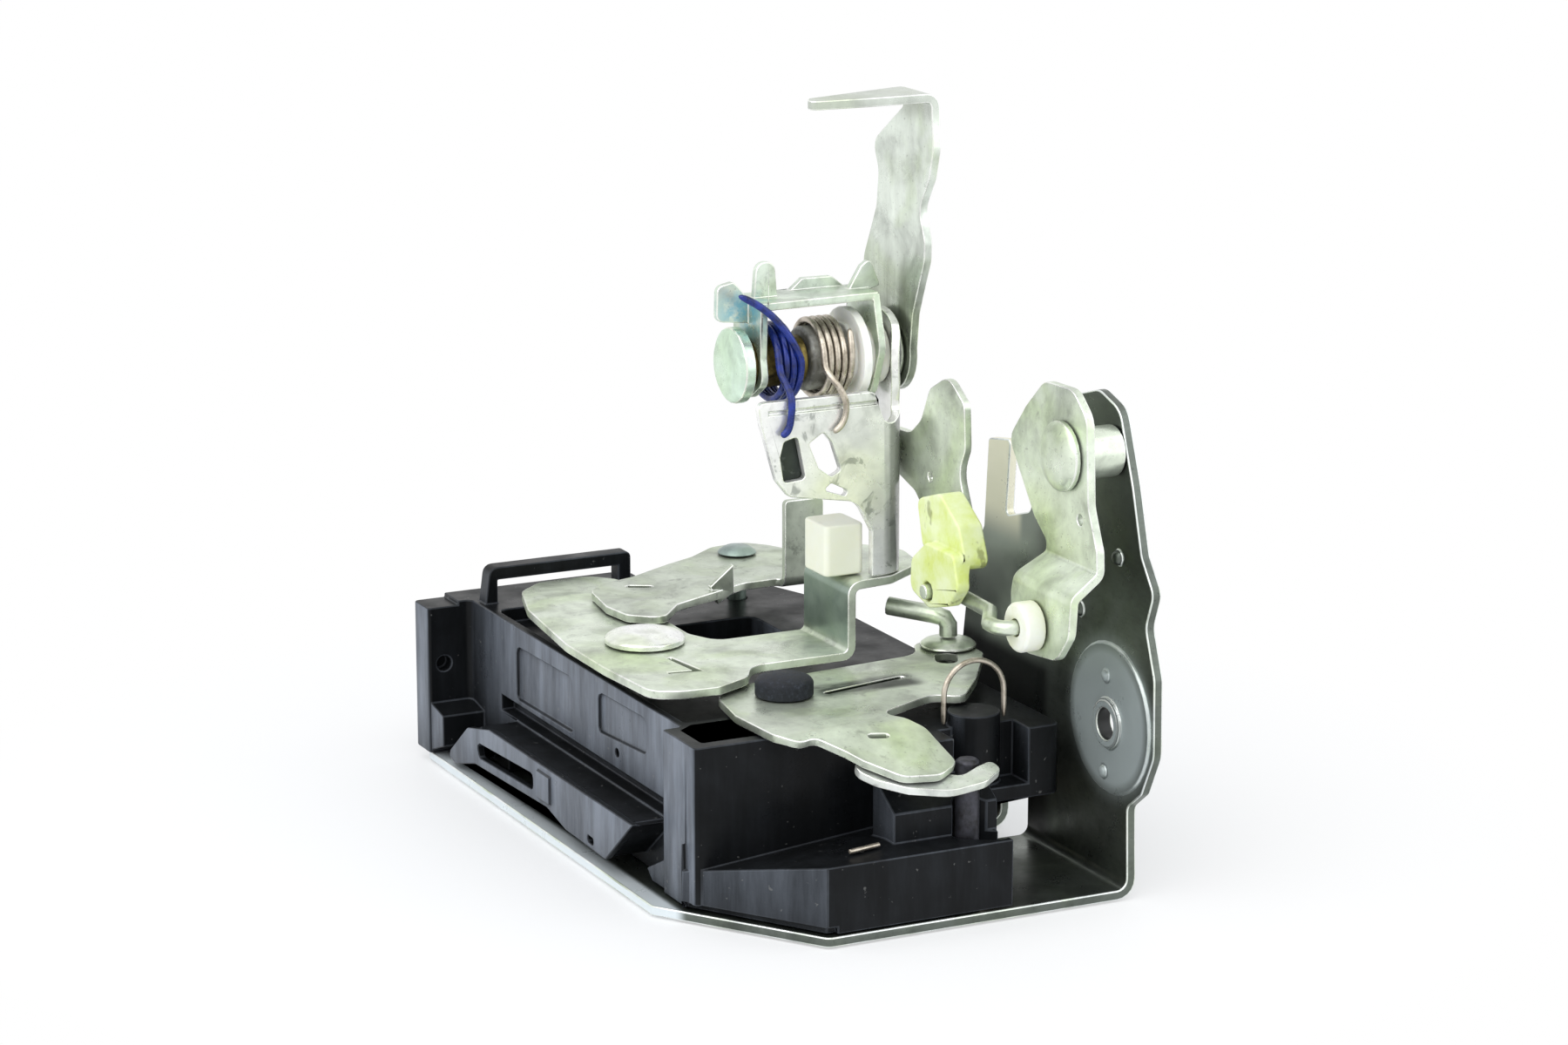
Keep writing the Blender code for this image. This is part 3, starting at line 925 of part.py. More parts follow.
def make_yoke_lever(kit, mat):
    """Saddle over the springs: two cheeks on the bush and the drum, joined by a bridge."""
    t = 1.6
    near = TOWER_HEAD_X + 4.5
    far = TALL_X - 7.0
    inner = BUSH_R + BORE_CLEARANCE
    bridge_top = TOWER_Z + 13.2
    cheek = sheet(rounded([(TOWER_Y - 6.0, TOWER_Z + 2.0, 2.0), (TOWER_Y - 6.5, bridge_top),
                           (TOWER_Y + 5.5, bridge_top), (TOWER_Y + 7.5, TOWER_Z - 3.0, 3.0),
                           (TOWER_Y, TOWER_Z - 7.5, 4.0), (TOWER_Y - 7.0, TOWER_Z - 3.0, 3.0)]),
                  0, t, [circle(TOWER_Y, TOWER_Z, inner)])
    yoke = kit.add("yoke_lever", upright(cheek, near), mat, (near, TOWER_Y, TOWER_Z))
    bridge = sheet(rounded([(near + 0.3, TOWER_Y - 6.5), (far + 1.3, TOWER_Y - 5.5), (far + 1.3, TOWER_Y + 4.5),
                            (near + 0.3, TOWER_Y + 5.5)]), bridge_top - t, t)
    far_cheek = sheet(rounded([(TOWER_Y - 5.5, bridge_top - 0.4), (TOWER_Y + 4.5, bridge_top - 0.4),
                               (TOWER_Y + 8.5, TOWER_Z + 2.0, 4.0), (TOWER_Y + 4.0, TOWER_Z - 9.0, 5.0),
                               (TOWER_Y - 4.0, TOWER_Z - 9.0, 5.0), (TOWER_Y - 8.5, TOWER_Z + 2.0, 4.0)]),
                      0, t, [circle(TOWER_Y, TOWER_Z, DRUM_R + BORE_CLEARANCE)])
    ears = {
        "yoke_horn": (-0.8, [(near + 1.2, -0.5), (near + 6.4, -0.5), (near + 5.8, 7.1, 2.2), (near + 1.8, 7.1, 2.2)]),
        "yoke_tip": (-0.8, [(far - 3.2, -0.5), (far + 1.2, -0.5), (far + 4.1, 0.3, 0.5), (far + 1.8, 6.0, 1.0),
                            (far - 0.2, 4.5, 1.0)]),
        "yoke_ear": (-0.8, [(near - 6.8, 2.9, 1.5), (near - 3.2, 3.7, 1.2), (near + 0.4, -0.4), (near + 0.4, -4.9),
                            (near - 7.0, -4.1, 1.5)]),
        "yoke_ridge": (3.3, [(near + 10.5, -0.6), (near + 14.0, 2.3, 1.0), (near + 20.5, 2.2, 1.5),
                             (near + 24.0, -0.6)]),
    }
    shapes = [("yoke_bridge", bridge), ("yoke_far_cheek", upright(far_cheek, far))]
    shapes += [(name, facing_front(sheet(rounded(moved(corners, 0, bridge_top)), 0, t), TOWER_Y + y))
               for name, (y, corners) in ears.items()]
    join(yoke, [kit.tool(mesh, name) for name, mesh in shapes])


def make_tall_lever(kit, mat):
    t = TALL_T
    mid_r = BEND_R + t / 2
    quarter = mid_r * pi / 2
    bend_z = TALL_TOP - t / 2 - mid_r
    tip_v = bend_z + quarter + (TALL_X + t / 2 - mid_r - TALL_TAB_TIP_X)
    hub = arc(TOWER_Y, TOWER_Z, TALL_HUB_R, 10, -190, 18)
    left = [(36.0, 0.161, 5.0), (31.2, 0.374, 4.0), (31.0, 0.448, 4.0), (33.6, 0.559, 4.0), (29.5, 0.680, 5.0),
            (27.8, 0.791, 5.0)]
    right = [(53.5, 0.763, 3.0), (50.9, 0.661, 5.0), (51.8, 0.522, 6.0), (57.0, 0.328, 6.0), (58.5, 0.180, 5.0)]
    left, right = [[(y, TOWER_Z + share * (TALL_TOP - TOWER_Z), r) for y, share, r in side] for side in (left, right)]
    corners = [
        *hub, *left, (28.4, bend_z), (28.4, tip_v - 12, 4.0), (29.4, tip_v, 1.5), (33.4, tip_v - 2, 2.0),
        (39.4, bend_z + quarter + 2, 2.0), (40.4, bend_z - 1.0, 2.0), *right,
    ]
    mesh = upright(sheet(rounded(corners), 0, t), TALL_X)
    mesh = bend(mesh, (TALL_X + t / 2, 0, bend_z), (0, 0, 1), (-1, 0, 0), 90, mid_r)
    lever = kit.add("tall_lever", mesh, mat, (TALL_X, TOWER_Y, TOWER_Z))
    bore(kit, lever, "tall_pivot", (TOWER_Y, TOWER_Z), TOWER_PIN_R + BORE_CLEARANCE, TALL_X - 3, TALL_X + 5, "X", 24)


# Lock lever, rod and upright lever

def make_lock_linkage(kit, mat, green):
    pivot = (LOCK_X, LOCK_Y, LOCK_Z)
    corners = [
        (20.5, 97.5, 4.5), (13.5, 93.0, 2.5), (13.0, 84.0, 4.0), (15.6, 79.0, 6.0), (8.0, 63.0, 2.0),
        (14.0, 60.0, 2.0), (22.0, 62.0, 4.0), (34.0, 71.5, 4.0), (LOCK_Y + 3.5, LOCK_Z - 4.5, 3.0),
        (LOCK_Y + 4.5, LOCK_Z + 3.0, 4.0), (36.0, 83.0, 5.0), (31.5, 86.5, 5.0), (28.0, 93.5, 4.0),
    ]
    holes = [circle(LOCK_Y, LOCK_Z, 1.5 + BORE_CLEARANCE, 12), circle(27.4, 75.7, 1.0, 10)]
    kit.add("lock_lever", upright(sheet(rounded(corners), 0, LOCK_T, holes), LOCK_X), mat, pivot)
    rivet(kit, "lock_rivet", mat, (LOCK_Y, LOCK_Z), LOCK_X + LOCK_T + GAP, 2.8, 1.2, 1.5, 4.5, "X")

    lobe_x = ROD_FAR_X - ROD_R - GAP - 3.0
    body_x = ROD_FAR_X - 2.6
    upper = upright(sheet(rounded([(22.5, 73.0, 2.0), (13.0, 76.0, 2.5), (5.0, 71.0, 2.0), (1.5, 63.0, 2.0),
                                   (12.0, 60.8, 2.0), (20.0, 64.0, 2.0)]), 0, LOCK_X - GAP - body_x), body_x)
    clip = kit.add("rod_clip", upper, green, pivot)
    lobe = upright(sheet(rounded([(3.0, 66.0, 2.0), (1.0, 59.5, 2.0), (5.0, 55.2, 1.5), (13.0, 53.0, 2.5),
                                  (21.0, 55.2, 2.5), (20.5, 61.5, 2.5), (14.5, 66.0, 2.0)]), 0, 3.0), lobe_x)
    join(clip, [kit.tool(lobe, "clip_lobe")])
    bore(kit, clip, "clip", (ROD_CLIP_Y, ROD_CLIP_Z), ROD_R + CLIP_CLEARANCE, lobe_x - 3, lobe_x + 6, "X", 16)

    # The rod lies in one plane across the pins, with a jog that brings it behind the clip's lobe.
    turn_r = 3.0
    plate_x = UPRIGHT_X - UPRIGHT_JOG
    points = [(plate_x + 2.4, ROD_BUSH_Y, ROD_BUSH_Z)]
    points += [(ROD_NEAR_X + turn_r - turn_r * sin(radians(a)), ROD_BUSH_Y + turn_r - turn_r * cos(radians(a)),
                ROD_BUSH_Z) for a in range(0, 91, 18)]
    points += [(ROD_NEAR_X, -10.5, ROD_BUSH_Z), (ROD_FAR_X, -3.4, ROD_BUSH_Z + 0.2)]
    turn_r = 1.8
    points += [(ROD_FAR_X - turn_r + turn_r * cos(radians(a)), ROD_CLIP_Y - turn_r + turn_r * sin(radians(a)),
                ROD_CLIP_Z) for a in range(0, 91, 30)]
    points += [(lobe_x - 1.0, ROD_CLIP_Y, ROD_CLIP_Z)]
    kit.add("link_rod", wire(points, ROD_R, 3), mat, (plate_x, ROD_BUSH_Y, ROD_BUSH_Z))


def make_upright_lever(kit, mat):
    # The lower half steps towards -X, so its stations on the flat pattern lie lower by the extra length.
    t = UPRIGHT_T
    mid = UPRIGHT_X + t / 2
    jog_z = 68.5
    jog = radians(55.0)
    jog_r = 2.0
    slope = (UPRIGHT_JOG - 2 * jog_r * (1 - cos(jog))) / sin(jog)
    extra = 2 * jog_r * (jog - sin(jog)) + slope * (1 - cos(jog))
    upper = [(-9.0, 70.0, 2.0), (-3.8, 74.0, 3.0), (6.5, 87.5, 3.0), (0.0, 95.0, 5.0), (-7.0, 101.3, 5.0),
             (-18.0, 101.6, 5.0), (-23.5, 97.0, 5.0), (-24.5, 80.0, 6.0), (-28.0, 72.0, 3.0)]
    lower = [(-28.8, 62.0, 3.0), (-28.2, 56.0, 4.0), (-23.5, 50.3, 4.0), (-12.4, 49.2, 4.0), (-6.2, 52.0, 4.0),
             (-5.7, 60.0, 3.0)]
    outline = upper + [(y, z - extra, r) for y, z, r in lower]
    mesh = upright(sheet(rounded(outline), 0, t), UPRIGHT_X)
    mesh = bend(mesh, (mid, 0, jog_z - jog_r * jog - slope), (0, 0, -1), (1, 0, 0), degrees(jog), jog_r, 3)
    mesh = bend(mesh, (mid, 0, jog_z), (0, 0, -1), (-1, 0, 0), degrees(jog), jog_r, 3)
    lever = kit.add("upright_lever", mesh, mat, (UPRIGHT_X, UPRIGHT_Y, UPRIGHT_Z))
    for label, place, r in (("upright_pivot", (UPRIGHT_Y, UPRIGHT_Z), 3.0 + BORE_CLEARANCE),
                            ("rod_bushing_seat", (ROD_BUSH_Y, ROD_BUSH_Z), 3.4 + BORE_CLEARANCE),
                            ("upright_eye", (-21.5, 77.0), 1.1)):
        bore(kit, lever, label, place, r, UPRIGHT_X - 9, UPRIGHT_X + 5, "X")


def make_upright_rivet(kit, mat):
    head_x = UPRIGHT_X - GAP
    profile = [(0, -2.4), (4.6, -2.2), (UPRIGHT_HEAD_R - 0.8, -1.7), (UPRIGHT_HEAD_R, -1.0), (UPRIGHT_HEAD_R, 0),
               (3.0, 0), (3.0, UPRIGHT_T + 2 * GAP), (5.0, UPRIGHT_T + 2 * GAP), (5.0, FLANGE_X - GAP - head_x),
               (0, FLANGE_X - GAP - head_x)]
    smooth(kit.add("upright_rivet", turned(profile, (UPRIGHT_Y, UPRIGHT_Z), head_x, "X"), mat))


def make_rod_bushing(kit, mat):
    face = UPRIGHT_X - UPRIGHT_JOG
    inner = ROD_R + BORE_CLEARANCE
    length = face - ROD_NEAR_X - 3.0
    profile = [(inner, -length), (4.4, -length), (4.9, 0.5 - length), (4.9, -GAP), (3.4, -GAP),
               (3.4, UPRIGHT_T + 0.8), (inner, UPRIGHT_T + 0.8)]
    smooth(kit.add("rod_bushing", turned(profile, (ROD_BUSH_Y, ROD_BUSH_Z), face, "X"), mat,
                   (UPRIGHT_X, UPRIGHT_Y, UPRIGHT_Z)))


def make_seal_wire(kit, mat):
    low = BAND_TOP + GAP + 0.5
    kit.add("seal_wire", wire([(PAWL_X - 36.1, -17.5, low), (PAWL_X - 29.1, -16.0, low)], 0.5), mat)


def main():
    clear_scene()
    kit = Kit()
    zinc = material("zinc", ZINC, 0.35, 0.9)
    dark = material("dark_zinc", DARK_ZINC, 0.45, 0.8)
    plastic = material("black_plastic", BLACK_PLASTIC, 0.45, 0.0)
    rubber = material("black_rubber", BLACK_RUBBER, 0.7, 0.0)
    black = material("black_steel", BLACK_STEEL, 0.4, 0.6)
    steel = material("bare_steel", BARE_WIRE, 0.35, 0.9)
    blue = material("blue_lacquer", BLUE, 0.3, 0.2)
    brass = material("brass", BRASS, 0.4, 0.9)
    white = material("white_nylon", WHITE_NYLON, 0.45, 0.0)
    cream = material("cream_nylon", CREAM_NYLON, 0.45, 0.0)
    green = material("green_nylon", GREEN_NYLON, 0.4, 0.0)
    make_base_plate(kit, dark)
    make_housing(kit, plastic)
    make_fork(kit, steel)
    make_pawl(kit, steel, black)
    make_pawl_spring(kit, steel)
    make_mouth_bumper(kit, rubber)
    make_support_bracket(kit, zinc)
    make_release_lever(kit, zinc, rubber)
    make_relay_lever(kit, zinc)
    make_tower(kit, zinc, brass, blue, steel, white, cream)
    make_yoke_lever(kit, zinc)
    make_tall_lever(kit, zinc)
    make_lock_linkage(kit, zinc, green)
    make_upright_lever(kit, zinc)
    make_upright_rivet(kit, zinc)
    make_rod_bushing(kit, white)
    make_seal_wire(kit, steel)


main()
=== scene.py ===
"""Looks of the car door lock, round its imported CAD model.

Places are in the frame's own coordinates: +Z up, the base plate's underside at Z = 0. Sizes and places
are in millimetres, where no comment says otherwise, and MM turns them into Blender's metres.
"""

import json
from math import cos, radians, sin

import bmesh
import bpy
from mathutils import Matrix, Vector


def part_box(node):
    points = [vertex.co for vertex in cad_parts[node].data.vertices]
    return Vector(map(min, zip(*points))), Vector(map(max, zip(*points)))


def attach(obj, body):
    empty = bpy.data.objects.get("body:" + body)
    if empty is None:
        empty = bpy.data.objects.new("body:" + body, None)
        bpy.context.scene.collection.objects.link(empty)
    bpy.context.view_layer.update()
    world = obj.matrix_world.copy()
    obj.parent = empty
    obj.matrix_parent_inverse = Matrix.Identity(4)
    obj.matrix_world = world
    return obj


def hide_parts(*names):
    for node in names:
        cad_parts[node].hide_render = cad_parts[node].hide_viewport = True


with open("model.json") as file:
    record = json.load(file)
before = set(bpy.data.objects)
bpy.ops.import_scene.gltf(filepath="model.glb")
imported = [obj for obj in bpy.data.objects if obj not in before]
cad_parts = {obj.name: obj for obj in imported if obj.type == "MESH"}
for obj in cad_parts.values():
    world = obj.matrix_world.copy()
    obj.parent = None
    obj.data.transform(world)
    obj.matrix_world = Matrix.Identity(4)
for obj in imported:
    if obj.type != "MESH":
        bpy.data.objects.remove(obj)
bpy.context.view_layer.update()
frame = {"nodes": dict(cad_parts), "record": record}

MM = 0.001
BODIES = frame["record"]["behaviour"]["bodies"]
BODY_OF = {node: body for body, nodes in BODIES.items() for node in nodes}
SLOT_OF = {part["node"]: part["material_slot"] for part in frame["record"]["subparts"]}


def span(node, axis):
    """Lowest and highest coordinate of a CAD node along X, Y or Z."""
    index = "XYZ".index(axis)
    return [corner[index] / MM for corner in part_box(node)]


# Camera, matched to the photograph. Its place is in metres.
CAMERA_AZIMUTH = radians(-26.3)
CAMERA_ELEVATION = radians(14.0)
CAMERA_PLACE = (-0.378144, -0.792645, 0.280706)
CAMERA_LENS = 102.0
CAMERA_SENSOR = 36.0
CAMERA_CLIP = 10.0

# Directions that faces look in: out of the housing's left wall, and out of the frame's rolled corner
LEFT = (-1, 0, 0)
CORNER_OUT = (0.57, -0.82, 0.0)

# Zones of colour. Each has one or more bands: an axis, the low and high end, and how far the ends fade.
# An end that is BEYOND a piece leaves no fade on it.
BEYOND = 50.0
PLATE_LEFT = span("base_plate", "X")[0]
TALL_LOW, TALL_TOP = span("tall_lever", "Z")
PLATE_TAB = (("Y", -41.0, 0.0, 1.5), ("Z", 64.0, 120.0, 4.0))
PLATE_FAR = (("Y", -50.0, 0.0, 5.0),)
PLATE_UPPER = (("Z", 62.0, 120.0, 12.0),)
# Part of the flange that stands in the gap beside the housing, where shade is painted
PLATE_GAP = (("Y", -54.0, 80.0, 3.0), ("Z", 2.0, 40.0, 3.0))
# Band along the base plate's left edge that gets a painted highlight
PLATE_LIT_BAND = (("X", PLATE_LEFT - BEYOND, PLATE_LEFT + 3.7, 0.8),)
RELEASE_SLOT = (("X", -1.0, 21.0, 2.0), ("Y", -47.6, -39.8, 1.4))
BRACKET_WALL = (("Z", 41.0, 54.0, 1.5),)
TALL_FOOT = (("Z", TALL_LOW - BEYOND, TALL_LOW + 23.9, 12.0),)
TALL_TAB = (("Z", TALL_TOP - 5.3, TALL_TOP + BEYOND, 2.0),)
FRAME_CORNER = (("Z", 56.0, 96.0, 2.0),)
# Rear of the housing, left without the painted sheen
HOUSING_REAR = (("Y", 46.0, 90.0, 26.0), ("X", -37.5, 0.0, 0.5))
DRUM_WOUND = (("X", 0.0, 17.6, 0.5),)

# Round zones: the screw pad of the base plate's flange, and where the blue spring rubs on the yoke
PAD_CENTRE = (46.0, -77.8, 34.9)
PAD_RADIUS = 19.0
PAD_EDGE_RADIUS = 20.0
PAD_HOLE_RADIUS = 6.5
PAD_BORE_RADIUS = 7.0
YOKE_RUB = (-4.5, -18.5, 108.5)
YOKE_RUB_RADIUS = 9.0

# Colours. SKY is the light from all round, COOL the lamp on the right.
WHITE = (1.0, 1.0, 1.0)
SKY = (0.93, 0.96, 1.0)
COOL = (0.95, 0.98, 1.0)
ZINC = (0.76, 0.83, 0.70)
ZINC_BLOTCH = (0.20, 0.22, 0.21)
# Painted shade for the narrow corners of zinc
ZINC_CORNER_SHADE = (0.07, 0.07, 0.06)
# Painted shade on the upper part of the flange's inner face
UPPER_PLATE_SHADE = (0.06, 0.07, 0.06)
# Painted light on the far part of the flange's inner face
FAR_PLATE_LIGHT = (0.36, 0.40, 0.36)
SCREW_PAD = (0.45, 0.51, 0.51)
# Near black painted shade inside the screw hole
SCREW_BORE_SHADE = (0.008, 0.009, 0.009)
# Near black painted shade for the gap between the housing and the flange
PLATE_GAP_SHADE = (0.012, 0.014, 0.013)
# Painted highlight along the base plate's left edge
LEFT_BAND_HIGHLIGHT = (0.84, 0.91, 0.94)
TAN_TAB = (0.95, 0.92, 0.73)
RUBBED_BLUE = (0.16, 0.46, 0.58)
SOOT = (0.045, 0.055, 0.040)
# Painted dark reflection on the bracket's stepped wall
WALL_DARK_REFLECTION = (0.17, 0.25, 0.21)
DULL_TAB = (0.40, 0.42, 0.38)
OILY_STREAK = (0.13, 0.15, 0.10)
# Painted shade down the tower frame's rolled corner
ROLLED_CORNER_SHADE = (0.16, 0.17, 0.16)
# Dust on black plastic, and the painted sheen on its faces that look left
PLASTIC_DUST_AND_SHEEN = (0.25, 0.28, 0.33)
PLASTIC_SPECK = (0.26, 0.26, 0.25)
NYLON_GRIME = (0.12, 0.12, 0.03)
# Painted shade for the narrow corners of nylon
NYLON_CORNER_SHADE = (0.40, 0.36, 0.14)
# Darker tone where the bare spring is wound on the drum
WOUND_DARK = (0.055, 0.050, 0.036)
# Painted shade for the narrow corners of wire
WIRE_CORNER_SHADE = (0.10, 0.10, 0.09)
FLOOR_LOW = (0.93, 0.94, 0.95)
FLOOR_HIGH = (0.95, 0.96, 0.97)

# Sockets of a Mix node that is set to colours, and the number of rays that look for corners
MIX_FACTOR, MIX_UNDER, MIX_OVER, MIX_RESULT = 0, 6, 7, 2
OCCLUSION_SAMPLES = 6


class Graph:
    """One material and the nodes that are added to it. A mask is 1 where white and 0 where black."""

    def __init__(self, name, roughness, metallic, specular=0.5):
        self.name = name
        self.mat = bpy.data.materials.new(name)
        self.mat.use_nodes = True
        self.tree = self.mat.node_tree
        self.shader = self.tree.nodes["Principled BSDF"]
        self.rough = roughness
        self.shader.inputs["Roughness"].default_value = roughness
        self.shader.inputs["Metallic"].default_value = metallic
        self.shader.inputs["Specular IOR Level"].default_value = specular
        self.coords = self.node("ShaderNodeTexCoord").outputs["Object"]
        self.base = WHITE

    def node(self, kind, **settings):
        node = self.tree.nodes.new(kind)
        for key, value in settings.items():
            setattr(node, key, value)
        return node

    def link(self, source, target):
        self.tree.links.new(source, target)

    def feed(self, socket, value):
        """Link a value to a socket, or set the socket to it where it is a number or a colour."""
        if isinstance(value, bpy.types.NodeSocket):
            self.link(value, socket)
        elif isinstance(value, tuple):
            socket.default_value = (*value, 1.0)
        else:
            socket.default_value = value

    def maths(self, operation, a, b):
        node = self.node("ShaderNodeMath", operation=operation)
        self.feed(node.inputs[0], a)
        self.feed(node.inputs[1], b)
        return node.outputs[0]

    def times(self, a, b):
        return self.maths("MULTIPLY", a, b)

    def most(self, a, b):
        return self.maths("MAXIMUM", a, b)

    def least(self, a, b):
        return self.maths("MINIMUM", a, b)

    def minus(self, a, b):
        return self.maths("SUBTRACT", a, b)

    def mixed(self, factor, under, over, blend="MIX"):
        """Two colours mixed: the first where factor is 0, the second laid over it where factor is 1."""
        mix = self.node("ShaderNodeMix", data_type="RGBA", blend_type=blend)
        self.feed(mix.inputs[MIX_FACTOR], factor)
        self.feed(mix.inputs[MIX_UNDER], under)
        self.feed(mix.inputs[MIX_OVER], over)
        return mix.outputs[MIX_RESULT]

    def noise(self, scale, detail=4.0, rough=0.55, stretch=None, distortion=0.0):
        """Grey noise with scale blobs to the metre, longer along an axis with a stretch under 1."""
        noise = self.node("ShaderNodeTexNoise")
        noise.inputs["Scale"].default_value = scale
        noise.inputs["Detail"].default_value = detail
        noise.inputs["Roughness"].default_value = rough
        noise.inputs["Distortion"].default_value = distortion
        place = self.coords
        if stretch:
            mapping = self.node("ShaderNodeMapping")
            mapping.inputs["Scale"].default_value = stretch
            self.link(self.coords, mapping.inputs["Vector"])
            place = mapping.outputs["Vector"]
        self.link(place, noise.inputs["Vector"])
        return noise.outputs["Fac"]

    def ramp(self, value, stops):
        """Colour ramp. A stop is the value that it stands at and its colour."""
        ramp = self.node("ShaderNodeValToRGB")
        elements = ramp.color_ramp.elements
        while len(elements) < len(stops):
            elements.new(0.5)
        for element, (place, colour) in zip(elements, stops):
            element.position = place
            element.color = (*colour, 1.0)
        self.link(value, ramp.inputs["Fac"])
        return ramp.outputs["Color"]

    def mask(self, value, start, end, low=0.0, high=1.0):
        """Grey that goes from low, where value is start, to high, where value is end."""
        return self.ramp(value, [(start, (low, low, low)), (end, (high, high, high))])

    def facing(self, direction, start, end):
        """White on faces that look in a direction. The grey climbs from start to end, both cosines."""
        normal = self.node("ShaderNodeTexCoord").outputs["Normal"]
        dot = self.node("ShaderNodeVectorMath", operation="DOT_PRODUCT")
        self.link(normal, dot.inputs[0])
        dot.inputs[1].default_value = direction
        return self.mask(dot.outputs["Value"], start, end)

    def fade(self, value, start, end, low, high):
        """Smooth step from low to high, as a length goes from start to end."""
        step = self.node("ShaderNodeMapRange", interpolation_type="SMOOTHSTEP")
        self.link(value, step.inputs["Value"])
        step.inputs["From Min"].default_value = start * MM
        step.inputs["From Max"].default_value = end * MM
        step.inputs["To Min"].default_value = low
        step.inputs["To Max"].default_value = high
        return step.outputs[0]

    def band(self, axis, low, high, soft):
        """White where a coordinate lies between low and high. Each end fades by soft to both sides."""
        split = self.node("ShaderNodeSeparateXYZ")
        self.link(self.coords, split.inputs[0])
        value = split.outputs[axis]
        rise = self.fade(value, low - soft, low + soft, 0.0, 1.0)
        fall = self.fade(value, high - soft, high + soft, 1.0, 0.0)
        return self.times(rise, fall)

    def zone(self, bands):
        """White where all of a zone's bands are."""
        first, *others = [self.band(*band) for band in bands]
        for other in others:
            first = self.times(first, other)
        return first

    def spot(self, place, radius, hardness=1.0):
        """White round a place, black from radius outwards. The harder it is, the narrower its rim."""
        gap = self.node("ShaderNodeVectorMath", operation="DISTANCE")
        self.link(self.coords, gap.inputs[0])
        gap.inputs[1].default_value = Vector(place) * MM
        near = self.fade(gap.outputs["Value"], 0.0, radius, 1.0, 0.0)
        return self.least(self.times(near, hardness), 1.0)

    def open_faces(self, distance):
        """White on open faces, black in corners narrower than distance."""
        occlusion = self.node("ShaderNodeAmbientOcclusion", samples=OCCLUSION_SAMPLES)
        occlusion.inputs["Distance"].default_value = distance * MM
        return self.mask(occlusion.outputs["AO"], 0.0, 0.85)

    def paint(self, mask, colour, share=1.0):
        """Lay a colour over what is painted so far, where mask is white, as thickly as share."""
        self.base = self.mixed(self.times(mask, share), self.base, colour)

    def stain(self, factor, colour):
        """Multiply what is painted so far by a colour, as strongly as factor."""
        self.base = self.mixed(factor, self.base, colour, "MULTIPLY")

    def shade_corners(self, distance, colour, share):
        """Paint shade into the corners that are narrower than distance."""
        self.stain(share, self.mixed(self.open_faces(distance), colour, WHITE))

    def metal(self, mask, low, high):
        """Metallic value from low, where mask is black, to high, where it is white."""
        self.link(self.mask(mask, 0.0, 1.0, low, high), self.shader.inputs["Metallic"])

    def vary_roughness(self, noise, less, more):
        """Roughness that wanders between less under and more over the material's own."""
        wander = self.mask(noise, 0.3, 0.7, self.rough - less, self.rough + more)
        self.link(wander, self.shader.inputs["Roughness"])

    def bump(self, height, strength, distance):
        bump = self.node("ShaderNodeBump")
        bump.inputs["Strength"].default_value = strength
        bump.inputs["Distance"].default_value = distance * MM
        self.link(height, bump.inputs["Height"])
        self.link(bump.outputs["Normal"], self.shader.inputs["Normal"])

    def finished(self):
        """The material, with what is painted on its shader."""
        self.feed(self.shader.inputs["Base Color"], self.base)
        return self.mat


def shade(colour, factor):
    return tuple(min(1.0, level * factor) for level in colour)


def zinc_finish(name, colour, roughness=0.32, metallic=0.70, corner_shade=0.5, tint=(0.80, 0.87, 0.66),
                grain=(1, 1, 1), blotch=0.0, smudge=0.35):
    """Zinc plate: cloudy passivation, rolling grain, smudges, and painted shade in the corners."""
    g = Graph(name, roughness, metallic)
    cloud = g.noise(95.0, detail=5.0, rough=0.62, distortion=0.5)
    g.base = g.ramp(cloud, [(0.30, shade(colour, 0.62)), (0.50, colour), (0.70, shade(colour, 1.18))])
    patches = g.noise(60.0, detail=3.0, rough=0.5, distortion=0.8)
    g.stain(g.mask(patches, 0.46, 0.70, high=0.8), tint)
    streaks = g.noise(420.0, detail=3.0, rough=0.6, stretch=grain)
    g.stain(0.25, g.mask(streaks, 0.35, 0.65, low=0.55))
    if blotch:
        blotches = g.noise(150.0, detail=3.0, rough=0.6, distortion=1.2)
        g.paint(g.mask(blotches, 0.58, 0.64), ZINC_BLOTCH, blotch)
    marks = g.noise(240.0, detail=6.0, rough=0.72, distortion=0.3)
    g.paint(g.mask(marks, 0.57, 0.67), shade(colour, 0.42), smudge)
    specks = g.noise(1100.0, detail=2.0, rough=0.5)
    g.paint(g.mask(specks, 0.68, 0.72), shade(colour, 0.25), 0.35)
    # Painted shade in narrow corners
    g.shade_corners(4.0, ZINC_CORNER_SHADE, corner_shade)
    g.vary_roughness(g.noise(130.0, rough=0.6), 0.08, 0.12)
    g.bump(streaks, 0.12, 0.05)
    return g


